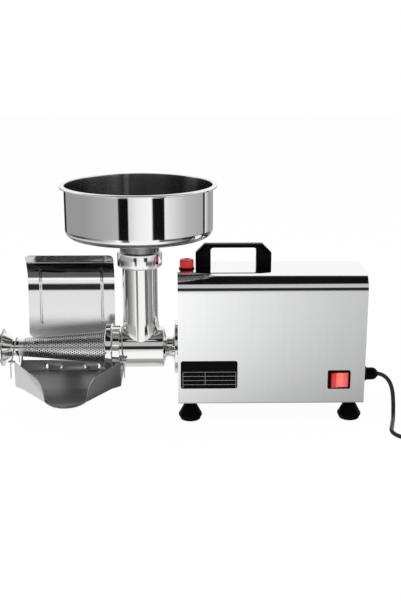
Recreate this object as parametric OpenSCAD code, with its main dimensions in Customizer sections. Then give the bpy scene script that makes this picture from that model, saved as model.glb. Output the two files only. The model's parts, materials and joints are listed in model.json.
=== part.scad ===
// Electric tomato press: a geared motor in a bent steel housing drives a screw
// that pushes tomatoes through a perforated cone. Juice falls into the tray and
// skins leave at the small end of the cone.
// The axis of the screw runs along X, the housing lies on the +X side of it.

/* [Housing] */
// Length of the motor housing along the screw axis
box_w = 290; // [280:1:340]
// Depth of the motor housing from front to back
box_d = 120; // [118:1:150]
// Height of the motor housing
box_h = 205; // [195:1:250]
// Radius of the bends along its two top edges
box_r = 28; // [8:1:34]
// Thickness of the bent steel sheet
sheet = 1.2; // [0.8:0.1:1.6]
// Height of the rubber feet
foot_h = 32; // [24:1:50]
// Largest diameter of a rubber foot
foot_d = 37; // [28:1:40]

/* [Carry handle] */
// Length of the carry handle
handle_w = 118; // [90:1:150]
// Height of the carry handle
handle_h = 37; // [30:1:60]
// Depth of the carry handle
handle_d = 13; // [10:1:40]
// Width of each of its legs
handle_leg = 23.5; // [16:0.5:30]
// Thickness of its grip bar
handle_bar = 5.5; // [5:0.5:12]

/* [Press body] */
// Height of the screw axis above the bottom of the housing
axis_h = 74; // [72:1:90]
// Distance from the feed tube's axis to the housing
feed_to_box = 59; // [57:1:80]
// Outer diameter of the horizontal tube
body_d = 64; // [62:0.5:68]
// Bore of the horizontal tube
body_bore = 54; // [50:0.5:55]
// Outer diameter of the feed tube
feed_d = 55; // [50:0.5:60]
// Bore of the feed tube
feed_bore = 48; // [38:0.5:49]
// Outer diameter of the collar that holds the hopper
collar_d = 70; // [66:0.5:80]
// Height of that collar
collar_h = 24; // [18:0.5:34]
// Height of the collar's top above the screw axis
collar_top = 156.5; // [130:0.5:180]

/* [Hopper] */
// Diameter over the hopper's rim
rim_d = 241; // [200:1:280]
// Width of the rim that is turned out
rim_w = 6.5; // [4:0.5:10]
// Height of the hopper's wall
hopper_h = 79; // [60:1:120]
// Radius between the hopper's wall and its floor
hopper_r = 10; // [5:1:20]
// Thickness of the hopper's sheet
hopper_t = 1; // [0.8:0.1:2]

/* [Strainer] */
// Diameter of the cone at its large end
cone_d = 53; // [50:0.5:54]
// Diameter of the cone at its small end
cone_tip_d = 28.4; // [26:0.2:32]
// Length of the cone
cone_len = 146; // [120:1:170]
// Thickness of the cone's sheet
cone_t = 1; // [0.8:0.1:1.4]
// Diameter of one hole
hole_d = 4; // [2:0.2:5]
// Rings of holes along the cone
hole_rings = 13; // [6:1:16]
// Holes in one ring
ring_holes = 16; // [8:1:20]

/* [Screw] */
// Length of one turn of the flight where it feeds
feed_pitch = 40; // [30:1:50]
// Length of one turn of the flight at the small end
press_pitch = 24; // [18:1:30]
// Clearance between the flight and the walls round it
flight_gap = 0.7; // [0.4:0.1:1]

/* [Tray and guard] */
// Length of the juice tray along the screw axis
tray_w = 165; // [150:1:170]
// Width of its spout
spout_w = 64; // [40:1:80]
// Width of the splash guard
guard_w = 140; // [120:1:160]
// Length of the guard's straight lower part
guard_len = 93; // [70:1:110]
// Radius of the guard's bend
guard_r = 45; // [30:1:60]
// Diameter of the hanger wires
wire_d = 2; // [1.6:0.1:2.4]

/* [Gears] */
// Teeth of the wheel on the output shaft
wheel_teeth = 50; // [48:1:52]
// Teeth of the pinion on the middle shaft
middle_teeth = 14; // [13:1:15]
// Teeth of the wheel on the middle shaft
middle_wheel_teeth = 40; // [38:1:42]
// Teeth cut on the rotor's shaft
rotor_teeth = 12; // [12:1:13]

/* [Motor] */
// Room on each side of the motor's shell, up to the outside of the housing
motor_room = 8; // [6:1:12]
// Length of the motor's shell
motor_len = 112; // [90:1:120]

/* [Cord] */
// Diameter of the mains cord
cord_d = 6.5; // [6:0.1:6.8]

/* [Hidden] */
$fn = 96;

// How far a cut runs past the face that it opens
over = 1;
// Gap between faces that move past each other or rest loosely
rest_gap = 0.3;
// Radial clearance of a shaft in its bush
run_gap = 0.05;
// Radial clearance of a screw in its hole
screw_gap = 0.15;

// Housing
wall_x = feed_to_box;
box_end = wall_x + box_w;
box_bottom = -axis_h;
box_top = box_h - axis_h;
floor_z = box_bottom - foot_h;
lip_w = 26;
cover_fit = 0.2;
corner_r = 6;
foot_inset = 19;
foot_neck_d = 18;
foot_step_h = 12;
foot_step = 1.2;
foot_round = 4;
foot_screw_d = 5;
foot_head_d = 10;
foot_head_h = 3.5;
foot_well_d = 13;
foot_well_h = 14;
foot_x = [wall_x + foot_inset, box_end - foot_inset];
foot_y = box_d / 2 - foot_inset;
nut_size = 8;
nut_t = 4;
vent_w = 4;
vent_len = 46;
vent_step = 10;
vents = 7;
vent_z = 4;

// Rating plate
plate_w = 88;
plate_h = 45;
plate_t = 0.6;
plate_r = 2;
plate_in = 4;
plate_z = -49.5;

// Carry handle
handle_chamfer = 14;
window_r = 4.5;
handle_screw_d = 5;
handle_screw_l = 20;
handle_head_d = 9;
handle_head_h = 3;

// Filler plug, with the handle beside it
plug_inset = 14;
plug_x = wall_x + plug_inset;
plug_y = -12;
cap_d = 21.6;
handle_gap = 3.2;
handle_x = plug_x + cap_d / 2 + handle_gap + handle_w / 2;
cap_h = 13.5;
cap_recess_d = 9;
cap_recess = 5;
cap_edge = 1.5;
cap_ribs = 16;
cap_rib_d = 1.2;
filler_d = 17;
filler_wall = 3.5;
filler_stem = 11;
seal_t = 1.5;

// Switch
switch_inset = 40;
switch_x = box_end - switch_inset;
switch_z = -35.8;
bezel_w = 35;
bezel_h = 29;
bezel_t = 2.5;
bezel_r = 2;
switch_w = 32;
switch_h = 26;
switch_depth = 24;
well_w = 28.8;
well_h = 24;
well_depth = 13;
key_w = 26.6;
key_h = 23.4;
key_rise = 5.2;
key_dish = 2;
key_back = 4;
key_tilt = 8;
key_pin_d = 3;
key_pin_l = 1;
blade_w = 6.3;
blade_t = 0.8;
blade_l = 9;
blade_step = 10;

// Cable gland
gland_y = -38;
gland_z = -34;
gland_af = 21;
gland_flange = 6;
gland_nut_d = 19.5;
gland_nut_l = 10;
gland_dome_d = 12;
gland_dome_l = 8;
gland_ribs = 14;
gland_thread_d = 15;
gland_thread_l = 9;
gland_bore = 8;
locknut_t = 3.5;
mouth_depth = 6;
mouth_gap = 0.1;

// The drive is as wide as the housing is deep, or less where the housing is too low for that
drive_room = 85;
drive_w = min(box_d, box_h - drive_room);

// Gear train: three shafts, the screw's at the bottom and the rotor's on top
wheel_room = 22.5;
wheel_module = (drive_w - 2 * wheel_room) / wheel_teeth;
module_ratio = 1.2;
rotor_module = wheel_module / module_ratio;
pressure_angle = 20;
add_share = 0.9;
root_share = 1.2;
backlash = 0.2;
wheel_r = wheel_module * wheel_teeth / 2;
middle_r = wheel_module * middle_teeth / 2;
middle_wheel_r = rotor_module * middle_wheel_teeth / 2;
rotor_r = rotor_module * rotor_teeth / 2;
low_centres = wheel_r + middle_r;
high_centres = middle_wheel_r + rotor_r;
stack_share = 0.82;
rotor_z = stack_share * (low_centres + high_centres);
middle_turn = acos((rotor_z * rotor_z + low_centres * low_centres - high_centres * high_centres)
    / (2 * rotor_z * low_centres));
middle_y = low_centres * sin(middle_turn);
middle_z = low_centres * cos(middle_turn);
low_aim = atan2(middle_z, middle_y);
high_aim = atan2(rotor_z - middle_z, -middle_y);

// Gearbox, from the housing's end wall to the motor's flange
gear_x = wall_x + sheet;
gear_wall = 5;
gear_face = 10;
gear_room = 1.8;
wheel_t = 16;
wheel_gap = 2;
wheel_x = gear_x + gear_face + wheel_gap;
middle_wheel_t = 12;
middle_gap = 3;
middle_wheel_x = wheel_x + wheel_t + middle_gap;
cover_gap = 4;
gear_l = middle_wheel_x + middle_wheel_t + cover_gap - gear_x;
cover_x = gear_x + gear_l;
cover_t = 8;
gear_front = -wheel_r - wheel_module - gear_room - gear_wall;
gear_back = middle_y + middle_wheel_r + rotor_module + gear_room + gear_wall;
gear_low = -wheel_r - wheel_module - gear_room - gear_wall;
gear_crown = 18;
gear_high = rotor_z + gear_crown;
gear_corner = 12;
case_screw_d = 5;
case_screw_l = 16;
case_head_d = 8.5;
case_head_h = 5;
case_inset = 5.5;
pad_w = 18;
pad_gap = 4;
pad_y = drive_w / 2 - foot_inset - nut_size / 2 - pad_gap - pad_w / 2;

// Shafts
output_d = 25;
bearing_d = 37;
bearing_w = 7;
bearing_ring = 2;
bearing_groove = 1;
square = 12;
square_gap = 0.15;
socket_l = 22;
key_wide = 6;
middle_d = 11;
middle_bush_d = 16;
rotor_d = 15;
rotor_neck_d = 8;
rotor_bearing_d = 32;
rotor_bearing_w = 9;

// Motor
motor_x = cover_x + cover_t;
motor_d = drive_w - 2 * motor_room;
shell_t = 3;
shell_ribs = 20;
shell_rib = 1.5;
core_l = 66;
core_start = 25;
core_ring = 21.5;
core_bore_d = motor_d - 2 * shell_t - 2 * core_ring;
slots = 24;
slot_w = 3;
slot_h = 12;
air_gap = 0.4;
winding_r = 7;
winding_gap = 1;
bell_t = 8;
bell_x = motor_x + motor_len;
fan_inset = 7;
fan_d = motor_d - 2 * fan_inset;
fan_gap = 6;
fan_w = 14;
fan_hub_d = 24;
fan_plate = 2;
fan_blades = 8;
shaft_end = 3;
cradle_w = 34;
cradle_x = motor_x + (motor_len - cradle_w) / 2;
cradle_t = 2;
cradle_foot = 34;
can_d = 35;
can_inset = 66;
can_room = 12.5;
cap_x = box_end - can_inset;
cap_y = box_d / 2 - can_room - can_d / 2;
can_l = 68;
clip_h = 16;
clip_t = 1.5;

// Hub against the housing
hub_d = 84.5;
hub_t = 5.6;
hub_x = wall_x - hub_t;
hub_edge = 1;
hub_bore = 40;
hub_screw_d = 5;
hub_screw_pcd = 68;
hub_screw_l = 14;
hub_head_d = 9.4;
hub_head_h = 2.6;
stud_d = 8;
stud_y = 24;
stud_out = 14.5;
stud_in = 8;
nut_af = 13;
nut_h = 6;

// Press body
reach_l = 30;
reach_r = 36;
body_r = body_d / 2;
bore_r = body_bore / 2;
feed_r = feed_d / 2;
collar_r = collar_d / 2;
neck_d = 32;
neck_taper = 4.5;
neck_bore = 26;
end_wall = 5;
flange_t = 3;
flange_d = 37;
flange_x = hub_x - flange_t;
ear_d = 17;
skirt_low = 20;
skirt_high = 50;
skirt_d = 72;
skirt_cut = 27.9;
collar_round = 4;
thread_d = 59.4;
thread_l = 16;
socket_gap = 0.3;
seat_depth = 16.5;
collar_bore = 62;

// Strainer
nut_x = -reach_l - thread_l;
cone_flange_t = 1.5;
cone_x = nut_x - cone_flange_t;
cone_end = cone_x - cone_len;
cone_blank = 12;
cone_slope = (cone_d - cone_tip_d) / 2 / cone_len;
function cone_at(x) = cone_d / 2 - (cone_x - x) * cone_slope;

// Ring nut
nut_disc_d = 76;
nut_disc_l = 12;
nut_hub_d = 69;
nut_lip = 9;
nut_end = cone_x - nut_lip;
nut_gap = 3.2;
nut_start = -reach_l - nut_gap;
lobes = 10;
lobe_d = 9;
lobe_depth = 3.2;
nut_edge = 1.5;

// Waste spout
spout_neck = 10;
spout_flare = 15;
spout_flare_d = 47;
spout_disc_d = 60;
spout_disc_t = 3;
spout_wall = 1.6;
spout_end = cone_end - spout_neck - spout_flare - spout_disc_t;

// Screw
screw_back = 1;
screw_short = 4;
screw_start = reach_r - end_wall - screw_back;
screw_tip = cone_end + screw_short;
screw_core_d = 20;
screw_tip_core_d = 12;
flight_angle = 64;
screw_rings = 104;
flight_steps = 4;
core_steps = 9;
collar_l = 4;
journal_d = 20;
journal_gap = 0.05;

// Hopper
hopper_d = rim_d - 2 * rim_w;
rim_lip = 4;
hopper_drop = 7;
spigot_neck = 26.5;
hopper_floor = collar_top + spigot_neck;
hopper_top = hopper_floor + hopper_h;
spigot_end = collar_top - seat_depth;
spigot_r = collar_bore / 2 - socket_gap;
spigot_t = 2.5;

// Tray
tray_x = -114;
tray_t = 1;
tray_back = 34;
tray_front = -37;
tray_nose = -79;
nose_reach = 16;
tray_top = -11;
back_top = -33;
floor_back = -50.5;
floor_fold = -52.5;
floor_tip = -67.5;
fold_y = -48;
notch_r = 36.4;
shoulder_x = 40;
shoulder_drop = 19;
shoulder_r = 14;
spout_side = 58;
drain_w = 27;
drain_h = 9;
drain_x = 31;
drain_z = -48.5;
ear_l = 9.5;
ear_w = 8;
ear_hole = 3;
ear_y = 37;
ear_out = 3.8;

// Splash guard
guard_t = 1;
guard_y = 41;
guard_z = 4;
guard_lean = 6;
guard_turn = 46;
guard_top = 14;
guard_corner = 8;
guard_steps = 8;
rib_w = 5.4;
rib_h = 1.6;
rib_low = 27;
rib_high = 120;
rib_x = 49.5;
tongue_w = 28;
foot_bar_h = 14;
tab_w = 20;
tab_up = 9;

// Hangers
hanger_eye = 3;
eye_shift = 2.4;
eye_steps = 14;
arch_steps = 20;
arch_lean = 2.2;
wire_sides = 8;
tail_l = 26;

// Cord: the free stretch's points, from the gland's mouth to the coil, and the coil's centre
cord_route = [
    [291.3, -38, 72], [294.5, -38, 72], [297.2, -38, 72], [305.8, -38, 69.2], [312.8, -38, 63.7],
    [317.9, -38, 56.3], [321.2, -38, 48], [323.2, -38, 39.2], [324.4, -38, 30.3], [324.9, -39.5, 21.5],
    [324.5, -43.7, 13.5], [323.4, -50.1, 7.4], [321.6, -58.1, 4.2], [319.4, -66.7, 3.5], [317, -75.4, 3.5],
    [314.7, -84.1, 3.5], [312.3, -92.8, 3.5], [310, -101.5, 3.5], [309.6, -110.4, 3.5], [311.9, -119.1, 3.5],
    [316.7, -126.6, 3.5], [323.6, -132.4, 3.5], [331.9, -135.7, 3.5], [340.9, -136.4, 3.5], [349.9, -136.4, 3.5],
    [358.9, -136.4, 3.5], [367.9, -136.4, 3.5], [376.9, -136.4, 3.5], [386.1, -136.4, 3.5]
];
cord_sides = 8;
coil_c = [386.1, -89.9];
coil_r = 46.5;
coil_rise = 3.5;
coil_step = 7;
coil_layer = 7;
coil_turns = 2.875;
coil_reverse = 0.5;
coil_rings = 24;
coil_sides = 6;
coil_run = 13;

// Plug
boot_l = 22;
boot_d = 9;
head_w = 25;
head_h = 20;
head_l = 32;
head_r = 5;
pin_w = 6.3;
pin_t = 1.5;
pin_l = 18;
pin_gap = 12.7;
earth_d = 4.8;
earth_l = 21;
earth_drop = 5;

// The origin is under the middle of the object's box, without its cord
middle_x = (spout_end + box_end + gland_flange + gland_nut_l + gland_dome_l) / 2;

module place() {
    translate([-middle_x, 0, -floor_z]) children();
}

// Round profile (radius, place along X) spun about the screw axis
module spin() {
    rotate([0, 90, 0]) rotate_extrude() children();
}

// Cylinder along +X from x to x + l
module rod(x, l, d, y = 0, z = 0) {
    translate([x, y, z]) rotate([0, 90, 0]) cylinder(h = l, d = d);
}

// Outline in Y and Z, pushed along +X from x to x + l
module run_x(x, l) {
    translate([x, 0, 0]) rotate([90, 0, 90]) linear_extrude(l) children();
}

// Outline in X and Z, pushed along -Y from y to y - l
module run_y(y, l) {
    translate([0, y, 0]) rotate([90, 0, 0]) linear_extrude(l) children();
}

module tube(x, l, d, bore, y = 0, z = 0) {
    difference() {
        rod(x, l, d, y, z);
        rod(x - over, l + 2 * over, bore, y, z);
    }
}

module rounded(w, h, r) {
    square([w, h - 2 * r], center = true);
    square([w - 2 * r, h], center = true);
    for (x = [-1, 1], y = [-1, 1]) translate([x * (w / 2 - r), y * (h / 2 - r)]) circle(r);
}

module slot_hole(w, h) {
    square([w - h, h], center = true);
    for (x = [-1, 1]) translate([x * (w - h) / 2, 0]) circle(d = h);
}

module hex_prism(h, af) {
    cylinder(h = h, d = af / cos(30), $fn = 6);
}

function unit(v) = v / norm(v);
function arc(c, r, from, to, steps) = [for (i = [0:steps])
    let (a = from + (to - from) * i / steps) c + r * [cos(a), sin(a)]];

// Involute gear outline, its first tooth along the first axis
function inv(a) = tan(a) * 180 / PI - a;
function tooth(teeth, mod, turn) =
    let (
        pitch_r = teeth * mod / 2,
        base_r = pitch_r * cos(pressure_angle),
        tip_r = pitch_r + add_share * mod,
        root_r = pitch_r - root_share * mod,
        half = 90 / teeth - backlash / 4 / pitch_r * 180 / PI,
        low_r = max(base_r, root_r),
        at = function (r) half + inv(pressure_angle) - inv(acos(min(1, base_r / r))),
        radii = concat(root_r < base_r ? [root_r] : [],
            [low_r, (low_r + pitch_r) / 2, (pitch_r + tip_r) / 2, tip_r]),
        last = len(radii) - 1
    )
    concat(
        [for (i = [0:last]) let (a = turn - at(radii[i])) radii[i] * [cos(a), sin(a)]],
        [for (i = [last:-1:0]) let (a = turn + at(radii[i])) radii[i] * [cos(a), sin(a)]]
    );
module gear_outline(teeth, mod, turn = 0) {
    polygon([for (k = [0:teeth - 1]) each tooth(teeth, mod, turn + 360 * k / teeth)]);
}

// Tube swept along points; its ends are square to the route
function heading(p, i) = unit(p[min(i + 1, len(p) - 1)] - p[max(i - 1, 0)]);
function sides_of(p, i, last, out) = i == len(p) ? out
    : let (t = heading(p, i), n = unit(last - (last * t) * t)) sides_of(p, i + 1, n, concat(out, [n]));
module sweep(p, d, sides) {
    n = sides_of(p, 0, [0, 0.001, 1], []);
    k = len(p);
    points = [for (i = [0:k - 1]) let (t = heading(p, i), b = cross(t, n[i]))
        for (j = [0:sides - 1]) let (a = 360 * j / sides)
            p[i] + d / 2 * (cos(a) * n[i] + sin(a) * b)];
    walls = [for (i = [0:k - 2], j = [0:sides - 1])
        let (a = i * sides + j, b = i * sides + (j + 1) % sides)
        each [[a, a + sides, b], [b, a + sides, b + sides]]];
    polyhedron(points, concat(walls,
        [[for (j = [0:sides - 1]) j]],
        [[for (j = [sides - 1:-1:0]) (k - 1) * sides + j]]));
}

// Outline of the bent cover in Y and Z, drawn inset from its outer face
module cover_outline(inset) {
    w = box_d - 2 * inset;
    r = max(box_r - inset, sheet);
    difference() {
        union() {
            translate([-w / 2, box_bottom + inset]) square([w, box_h - 2 * inset - r]);
            translate([-w / 2 + r, box_bottom + inset]) square([w - 2 * r, box_h - 2 * inset]);
            for (s = [-1, 1]) translate([s * (w / 2 - r), box_top - inset - r]) circle(r);
        }
    }
}

module base_chassis() {
    inset = sheet + cover_fit;
    z0 = box_bottom + sheet;
    color("silver") difference() {
        union() {
            translate([wall_x, -box_d / 2 + inset, z0]) cube([box_w, box_d - 2 * inset, sheet]);
            for (x = [wall_x, box_end - sheet]) run_x(x, sheet) difference() {
                cover_outline(inset);
                translate([-box_d / 2, box_bottom]) square([box_d, sheet]);
            }
        }
        rod(wall_x - over, sheet + 2 * over, hub_bore);
        for (a = [45:90:315]) rod(wall_x - over, sheet + 2 * over, hub_screw_d + 2 * screw_gap,
            hub_screw_pcd / 2 * cos(a), hub_screw_pcd / 2 * sin(a));
        for (s = [-1, 1]) rod(wall_x - over, sheet + 2 * over, stud_d + 2 * screw_gap, s * stud_y);
        rod(box_end - sheet - over, sheet + 2 * over, gland_thread_d + 2 * screw_gap, gland_y, gland_z);
        for (k = [0:vents - 1]) run_x(box_end - sheet - over, sheet + 2 * over)
            translate([0, vent_z + k * vent_step]) slot_hole(vent_len, vent_w);
        for (x = foot_x, s = [-1, 1]) translate([x, s * foot_y, z0 - over])
            cylinder(h = sheet + 2 * over, d = foot_screw_d + 2 * screw_gap);
        for (s = [-1, 1]) translate([(wall_x + box_end) / 2, s * foot_y, z0 - over])
            cylinder(h = sheet + 2 * over, d = case_screw_d + 2 * screw_gap);
    }
}

module housing_cover() {
    color("gainsboro") difference() {
        run_x(wall_x, box_w) difference() {
            cover_outline(0);
            cover_outline(sheet);
            translate([-box_d / 2 + lip_w, box_bottom - over]) square([box_d - 2 * lip_w, sheet + 2 * over]);
        }
        translate([plug_x, plug_y, box_top - sheet - over])
            cylinder(h = sheet + 2 * over, d = filler_d + 2 * filler_wall + 2 * rest_gap);
        for (s = [-1, 1]) translate([handle_x + s * (handle_w - handle_leg) / 2, 0, box_top - sheet - over])
            cylinder(h = sheet + 2 * over, d = handle_screw_d + 2 * screw_gap);
        run_y(-box_d / 2 + sheet + over, sheet + 2 * over) translate([switch_x, switch_z])
            square([switch_w + 2 * screw_gap, switch_h + 2 * screw_gap], center = true);
        for (x = foot_x, s = [-1, 1]) translate([x, s * foot_y, box_bottom - over])
            cylinder(h = sheet + 2 * over, d = foot_screw_d + 2 * screw_gap);
        for (s = [-1, 1]) translate([(wall_x + box_end) / 2, s * foot_y, box_bottom - over])
            cylinder(h = sheet + 2 * over, d = case_screw_d + 2 * screw_gap);
    }
}

// Screw pointing up, its head below z, with a nut above the sheets
module lift_screw(d, head_d, head_h, grip, tail) {
    translate([0, 0, -head_h]) cylinder(h = head_h, d = head_d);
    cylinder(h = grip + tail, d = d);
    translate([0, 0, grip]) difference() {
        hex_prism(nut_t, nut_size);
        cylinder(h = nut_t, d = d);
    }
}

module cover_screws() {
    color("dimgray") for (s = [-1, 1]) translate([(wall_x + box_end) / 2, s * foot_y, box_bottom])
        lift_screw(case_screw_d, case_head_d, foot_head_h, 2 * sheet, nut_t);
}

module rating_plate() {
    color("black") run_y(-box_d / 2, plate_t)
        translate([wall_x + plate_in + plate_w / 2, plate_z + plate_h / 2]) rounded(plate_w, plate_h, plate_r);
}

module carry_handle() {
    c = handle_chamfer;
    w = handle_w / 2;
    color("#181818") difference() {
        run_y(handle_d / 2, handle_d) translate([handle_x, box_top]) difference() {
            polygon([[-w, 0], [-w, handle_h - c], [c - w, handle_h], [w - c, handle_h], [w, handle_h - c], [w, 0]]);
            translate([-w + handle_leg, -over])
                square([handle_w - 2 * handle_leg, handle_h - handle_bar - window_r + over]);
            translate([-w + handle_leg + window_r, 0])
                square([handle_w - 2 * (handle_leg + window_r), handle_h - handle_bar]);
            for (s = [-1, 1]) translate([s * (w - handle_leg - window_r), handle_h - handle_bar - window_r])
                circle(window_r);
        }
        for (s = [-1, 1]) translate([handle_x + s * (handle_w - handle_leg) / 2, 0, box_top - over])
            cylinder(h = handle_screw_l - sheet + over, d = handle_screw_d + 2 * screw_gap);
    }
}

module handle_screws() {
    color("dimgray") for (s = [-1, 1])
        translate([handle_x + s * (handle_w - handle_leg) / 2, 0, box_top - sheet]) {
            translate([0, 0, -handle_head_h]) cylinder(h = handle_head_h, d = handle_head_d);
            cylinder(h = handle_screw_l - sheet, d = handle_screw_d);
        }
}

module oil_filler_plug() {
    color("red") translate([plug_x, plug_y, box_top + seal_t]) {
        difference() {
            rotate_extrude() polygon([[0, 0], [cap_d / 2 - cap_edge, 0], [cap_d / 2, cap_edge],
                [cap_d / 2, cap_h - cap_edge], [cap_d / 2 - cap_edge, cap_h], [0, cap_h]]);
            translate([0, 0, cap_h - cap_recess]) cylinder(h = cap_recess + over, d = cap_recess_d);
            for (k = [1:cap_ribs]) rotate(360 * k / cap_ribs) translate([cap_d / 2 + cap_rib_d / 4, 0, cap_edge])
                cylinder(h = cap_h - 2 * cap_edge, d = cap_rib_d);
        }
        translate([0, 0, -filler_stem]) cylinder(h = filler_stem, d = filler_d - 2 * run_gap);
    }
}

module oil_plug_seal() {
    color("#202020") translate([plug_x, plug_y, box_top]) difference() {
        cylinder(h = seal_t, d = filler_d + 2 * filler_wall);
        translate([0, 0, -over]) cylinder(h = seal_t + 2 * over, d = filler_d + screw_gap);
    }
}

module switch_housing() {
    y = -box_d / 2;
    color("#141414") difference() {
        union() {
            run_y(y, bezel_t) translate([switch_x, switch_z]) rounded(bezel_w, bezel_h, bezel_r);
            translate([switch_x - switch_w / 2, y, switch_z - switch_h / 2])
                cube([switch_w, switch_depth, switch_h]);
            for (k = [-1, 1]) translate([switch_x + k * blade_step / 2 - blade_t / 2, y + switch_depth,
                switch_z - blade_w / 2]) cube([blade_t, blade_l, blade_w]);
        }
        translate([switch_x - well_w / 2, y - bezel_t - over, switch_z - well_h / 2])
            cube([well_w, well_depth + bezel_t + over, well_h]);
        translate([switch_x, y + key_back / 4, switch_z - well_h / 2 - key_pin_l])
            cylinder(h = well_h + 2 * key_pin_l, d = key_pin_d + 2 * run_gap);
    }
}

// The key rocks about an upright pin; at rest its left half stands out
module switch_rocker() {
    y = -box_d / 2 + key_back / 4;
    color("red") translate([switch_x, y, switch_z - key_h / 2]) {
        rotate(key_tilt) linear_extrude(key_h) polygon([
            [-key_w / 2, key_back / 2], [-key_w / 2, -key_rise], [0, -key_rise + key_dish],
            [key_w / 2, -key_rise], [key_w / 2, key_back / 2], [key_back, key_back + key_rise],
            [-key_back, key_back + key_rise]]);
        translate([0, 0, -key_pin_l]) cylinder(h = key_h + 2 * key_pin_l, d = key_pin_d);
    }
}

module gland_body() {
    color("#1c1c1c") difference() {
        union() {
            translate([box_end, gland_y, gland_z]) rotate([0, 90, 0]) hex_prism(gland_flange, gland_af);
            rod(box_end - gland_thread_l, gland_thread_l, gland_thread_d, gland_y, gland_z);
        }
        rod(box_end - gland_thread_l - over, gland_thread_l + gland_flange + 2 * over, gland_bore, gland_y, gland_z);
    }
}

module gland_nut() {
    x = box_end + gland_flange;
    l = gland_nut_l + gland_dome_l;
    color("#1c1c1c") difference() {
        translate([x, gland_y, gland_z]) spin() polygon(concat(
            [[0, 0], [gland_nut_d / 2, 0]],
            arc([gland_nut_d / 2 - gland_dome_l, gland_nut_l], gland_dome_l, 0, 70, 6),
            [[gland_dome_d / 2, l], [0, l]]));
        for (k = [1:gland_ribs]) translate([x, gland_y, gland_z]) rotate([360 * k / gland_ribs, 0, 0])
            rod(-over, gland_nut_l + over, cap_rib_d, 0, gland_nut_d / 2 + cap_rib_d / 4);
        rod(x + l - mouth_depth, mouth_depth + over, cord_d + 2 * mouth_gap, gland_y, gland_z);
    }
}

module gland_locknut() {
    color("#1c1c1c") translate([box_end - sheet - locknut_t, gland_y, gland_z]) rotate([0, 90, 0]) difference() {
        hex_prism(locknut_t, gland_af);
        translate([0, 0, -over]) cylinder(h = locknut_t + 2 * over, d = gland_thread_d + run_gap);
    }
}

module rubber_feet() {
    r = foot_d / 2;
    color("#101010") for (x = foot_x, s = [-1, 1]) translate([x, s * foot_y, floor_z]) difference() {
        rotate_extrude() polygon(concat(
            [[0, 0]],
            arc([r - foot_step - foot_round, foot_round], foot_round, -90, 0, 5),
            [[r - foot_step, foot_step_h - foot_step], [r, foot_step_h - foot_step], [r, foot_step_h + foot_step],
            [foot_neck_d / 2 + foot_step, foot_h - foot_step], [foot_neck_d / 2 + foot_step, foot_h], [0, foot_h]]));
        translate([0, 0, -over]) cylinder(h = foot_h + 2 * over, d = foot_screw_d + 2 * screw_gap);
        translate([0, 0, -over]) cylinder(h = foot_well_h + over, d = foot_well_d);
    }
}

module foot_screws() {
    grip = foot_h - foot_well_h + 2 * sheet;
    color("dimgray") for (x = foot_x, s = [-1, 1]) translate([x, s * foot_y, floor_z + foot_well_h])
        lift_screw(foot_screw_d, foot_head_d, foot_head_h, grip, nut_t);
}

// Rounded outline of the gearbox in Y and Z, drawn inset from its outer face
module case_outline(inset) {
    w = gear_back - gear_front;
    h = gear_high - gear_low;
    translate([(gear_back + gear_front) / 2, (gear_high + gear_low) / 2])
        rounded(w - 2 * inset, h - 2 * inset, gear_corner - inset / 2);
}
function case_corners() = [for (y = [gear_front + case_inset, gear_back - case_inset],
    z = [gear_low + case_inset, gear_high - case_inset]) [y, z]];

module gearbox_housing() {
    stem = box_top - gear_high;
    pad_h = gear_low - box_bottom - 2 * sheet;
    color("slategray") difference() {
        union() {
            run_x(gear_x, gear_l) case_outline(0);
            translate([plug_x, plug_y, gear_high - gear_wall])
                cylinder(h = stem + gear_wall, d = filler_d + 2 * filler_wall);
            for (s = [-1, 1]) translate([gear_x, s * pad_y - pad_w / 2, box_bottom + 2 * sheet])
                cube([gear_l, pad_w, pad_h + gear_wall]);
        }
        run_x(gear_x + gear_face, gear_l) case_outline(gear_wall);
        rod(gear_x - over, gear_face + 2 * over, output_d + 2 * rest_gap);
        rod(gear_x + gear_face - bearing_w, bearing_w + over, bearing_d);
        rod(gear_x + gear_wall - rest_gap, gear_face, middle_bush_d, middle_y, middle_z);
        translate([plug_x, plug_y, gear_high - gear_wall - over])
            cylinder(h = stem + gear_wall + 2 * over, d = filler_d);
        for (a = [45:90:315]) rod(gear_x - over, hub_screw_l, hub_screw_d, hub_screw_pcd / 2 * cos(a),
            hub_screw_pcd / 2 * sin(a));
        for (s = [-1, 1]) rod(gear_x - over, stud_in + over, stud_d, s * stud_y);
        for (c = case_corners()) rod(cover_x - case_screw_l, case_screw_l + over, case_screw_d, c[0], c[1]);
    }
}

module gearbox_cover() {
    color("slategray") difference() {
        run_x(cover_x, cover_t) case_outline(0);
        rod(cover_x - over, bearing_w + over, bearing_d);
        rod(cover_x - over, cover_t - gear_room + over, middle_bush_d, middle_y, middle_z);
        rod(cover_x - over, cover_t + 2 * over, rotor_d + 2 * rest_gap, 0, rotor_z);
        for (c = case_corners()) {
            rod(cover_x - over, cover_t + 2 * over, case_screw_d + 2 * screw_gap, c[0], c[1]);
            rod(cover_x + cover_t - case_head_h, case_head_h + over, case_head_d + 2 * screw_gap, c[0], c[1]);
        }
    }
}

module gearbox_screws() {
    color("dimgray") for (c = case_corners()) {
        rod(cover_x - case_screw_l + case_head_h, case_screw_l - case_head_h + cover_t, case_screw_d, c[0], c[1]);
        rod(cover_x + cover_t - case_head_h, case_head_h, case_head_d, c[0], c[1]);
    }
}

module output_wheel() {
    color("goldenrod") difference() {
        run_x(wheel_x, wheel_t) gear_outline(wheel_teeth, wheel_module, low_aim);
        rod(wheel_x - over, wheel_t + 2 * over, output_d);
        for (k = [0:5]) rotate([60 * k, 0, 0])
            rod(wheel_x - over, wheel_t + 2 * over, wheel_r / 4, 0, wheel_r * 0.62);
    }
}

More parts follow.
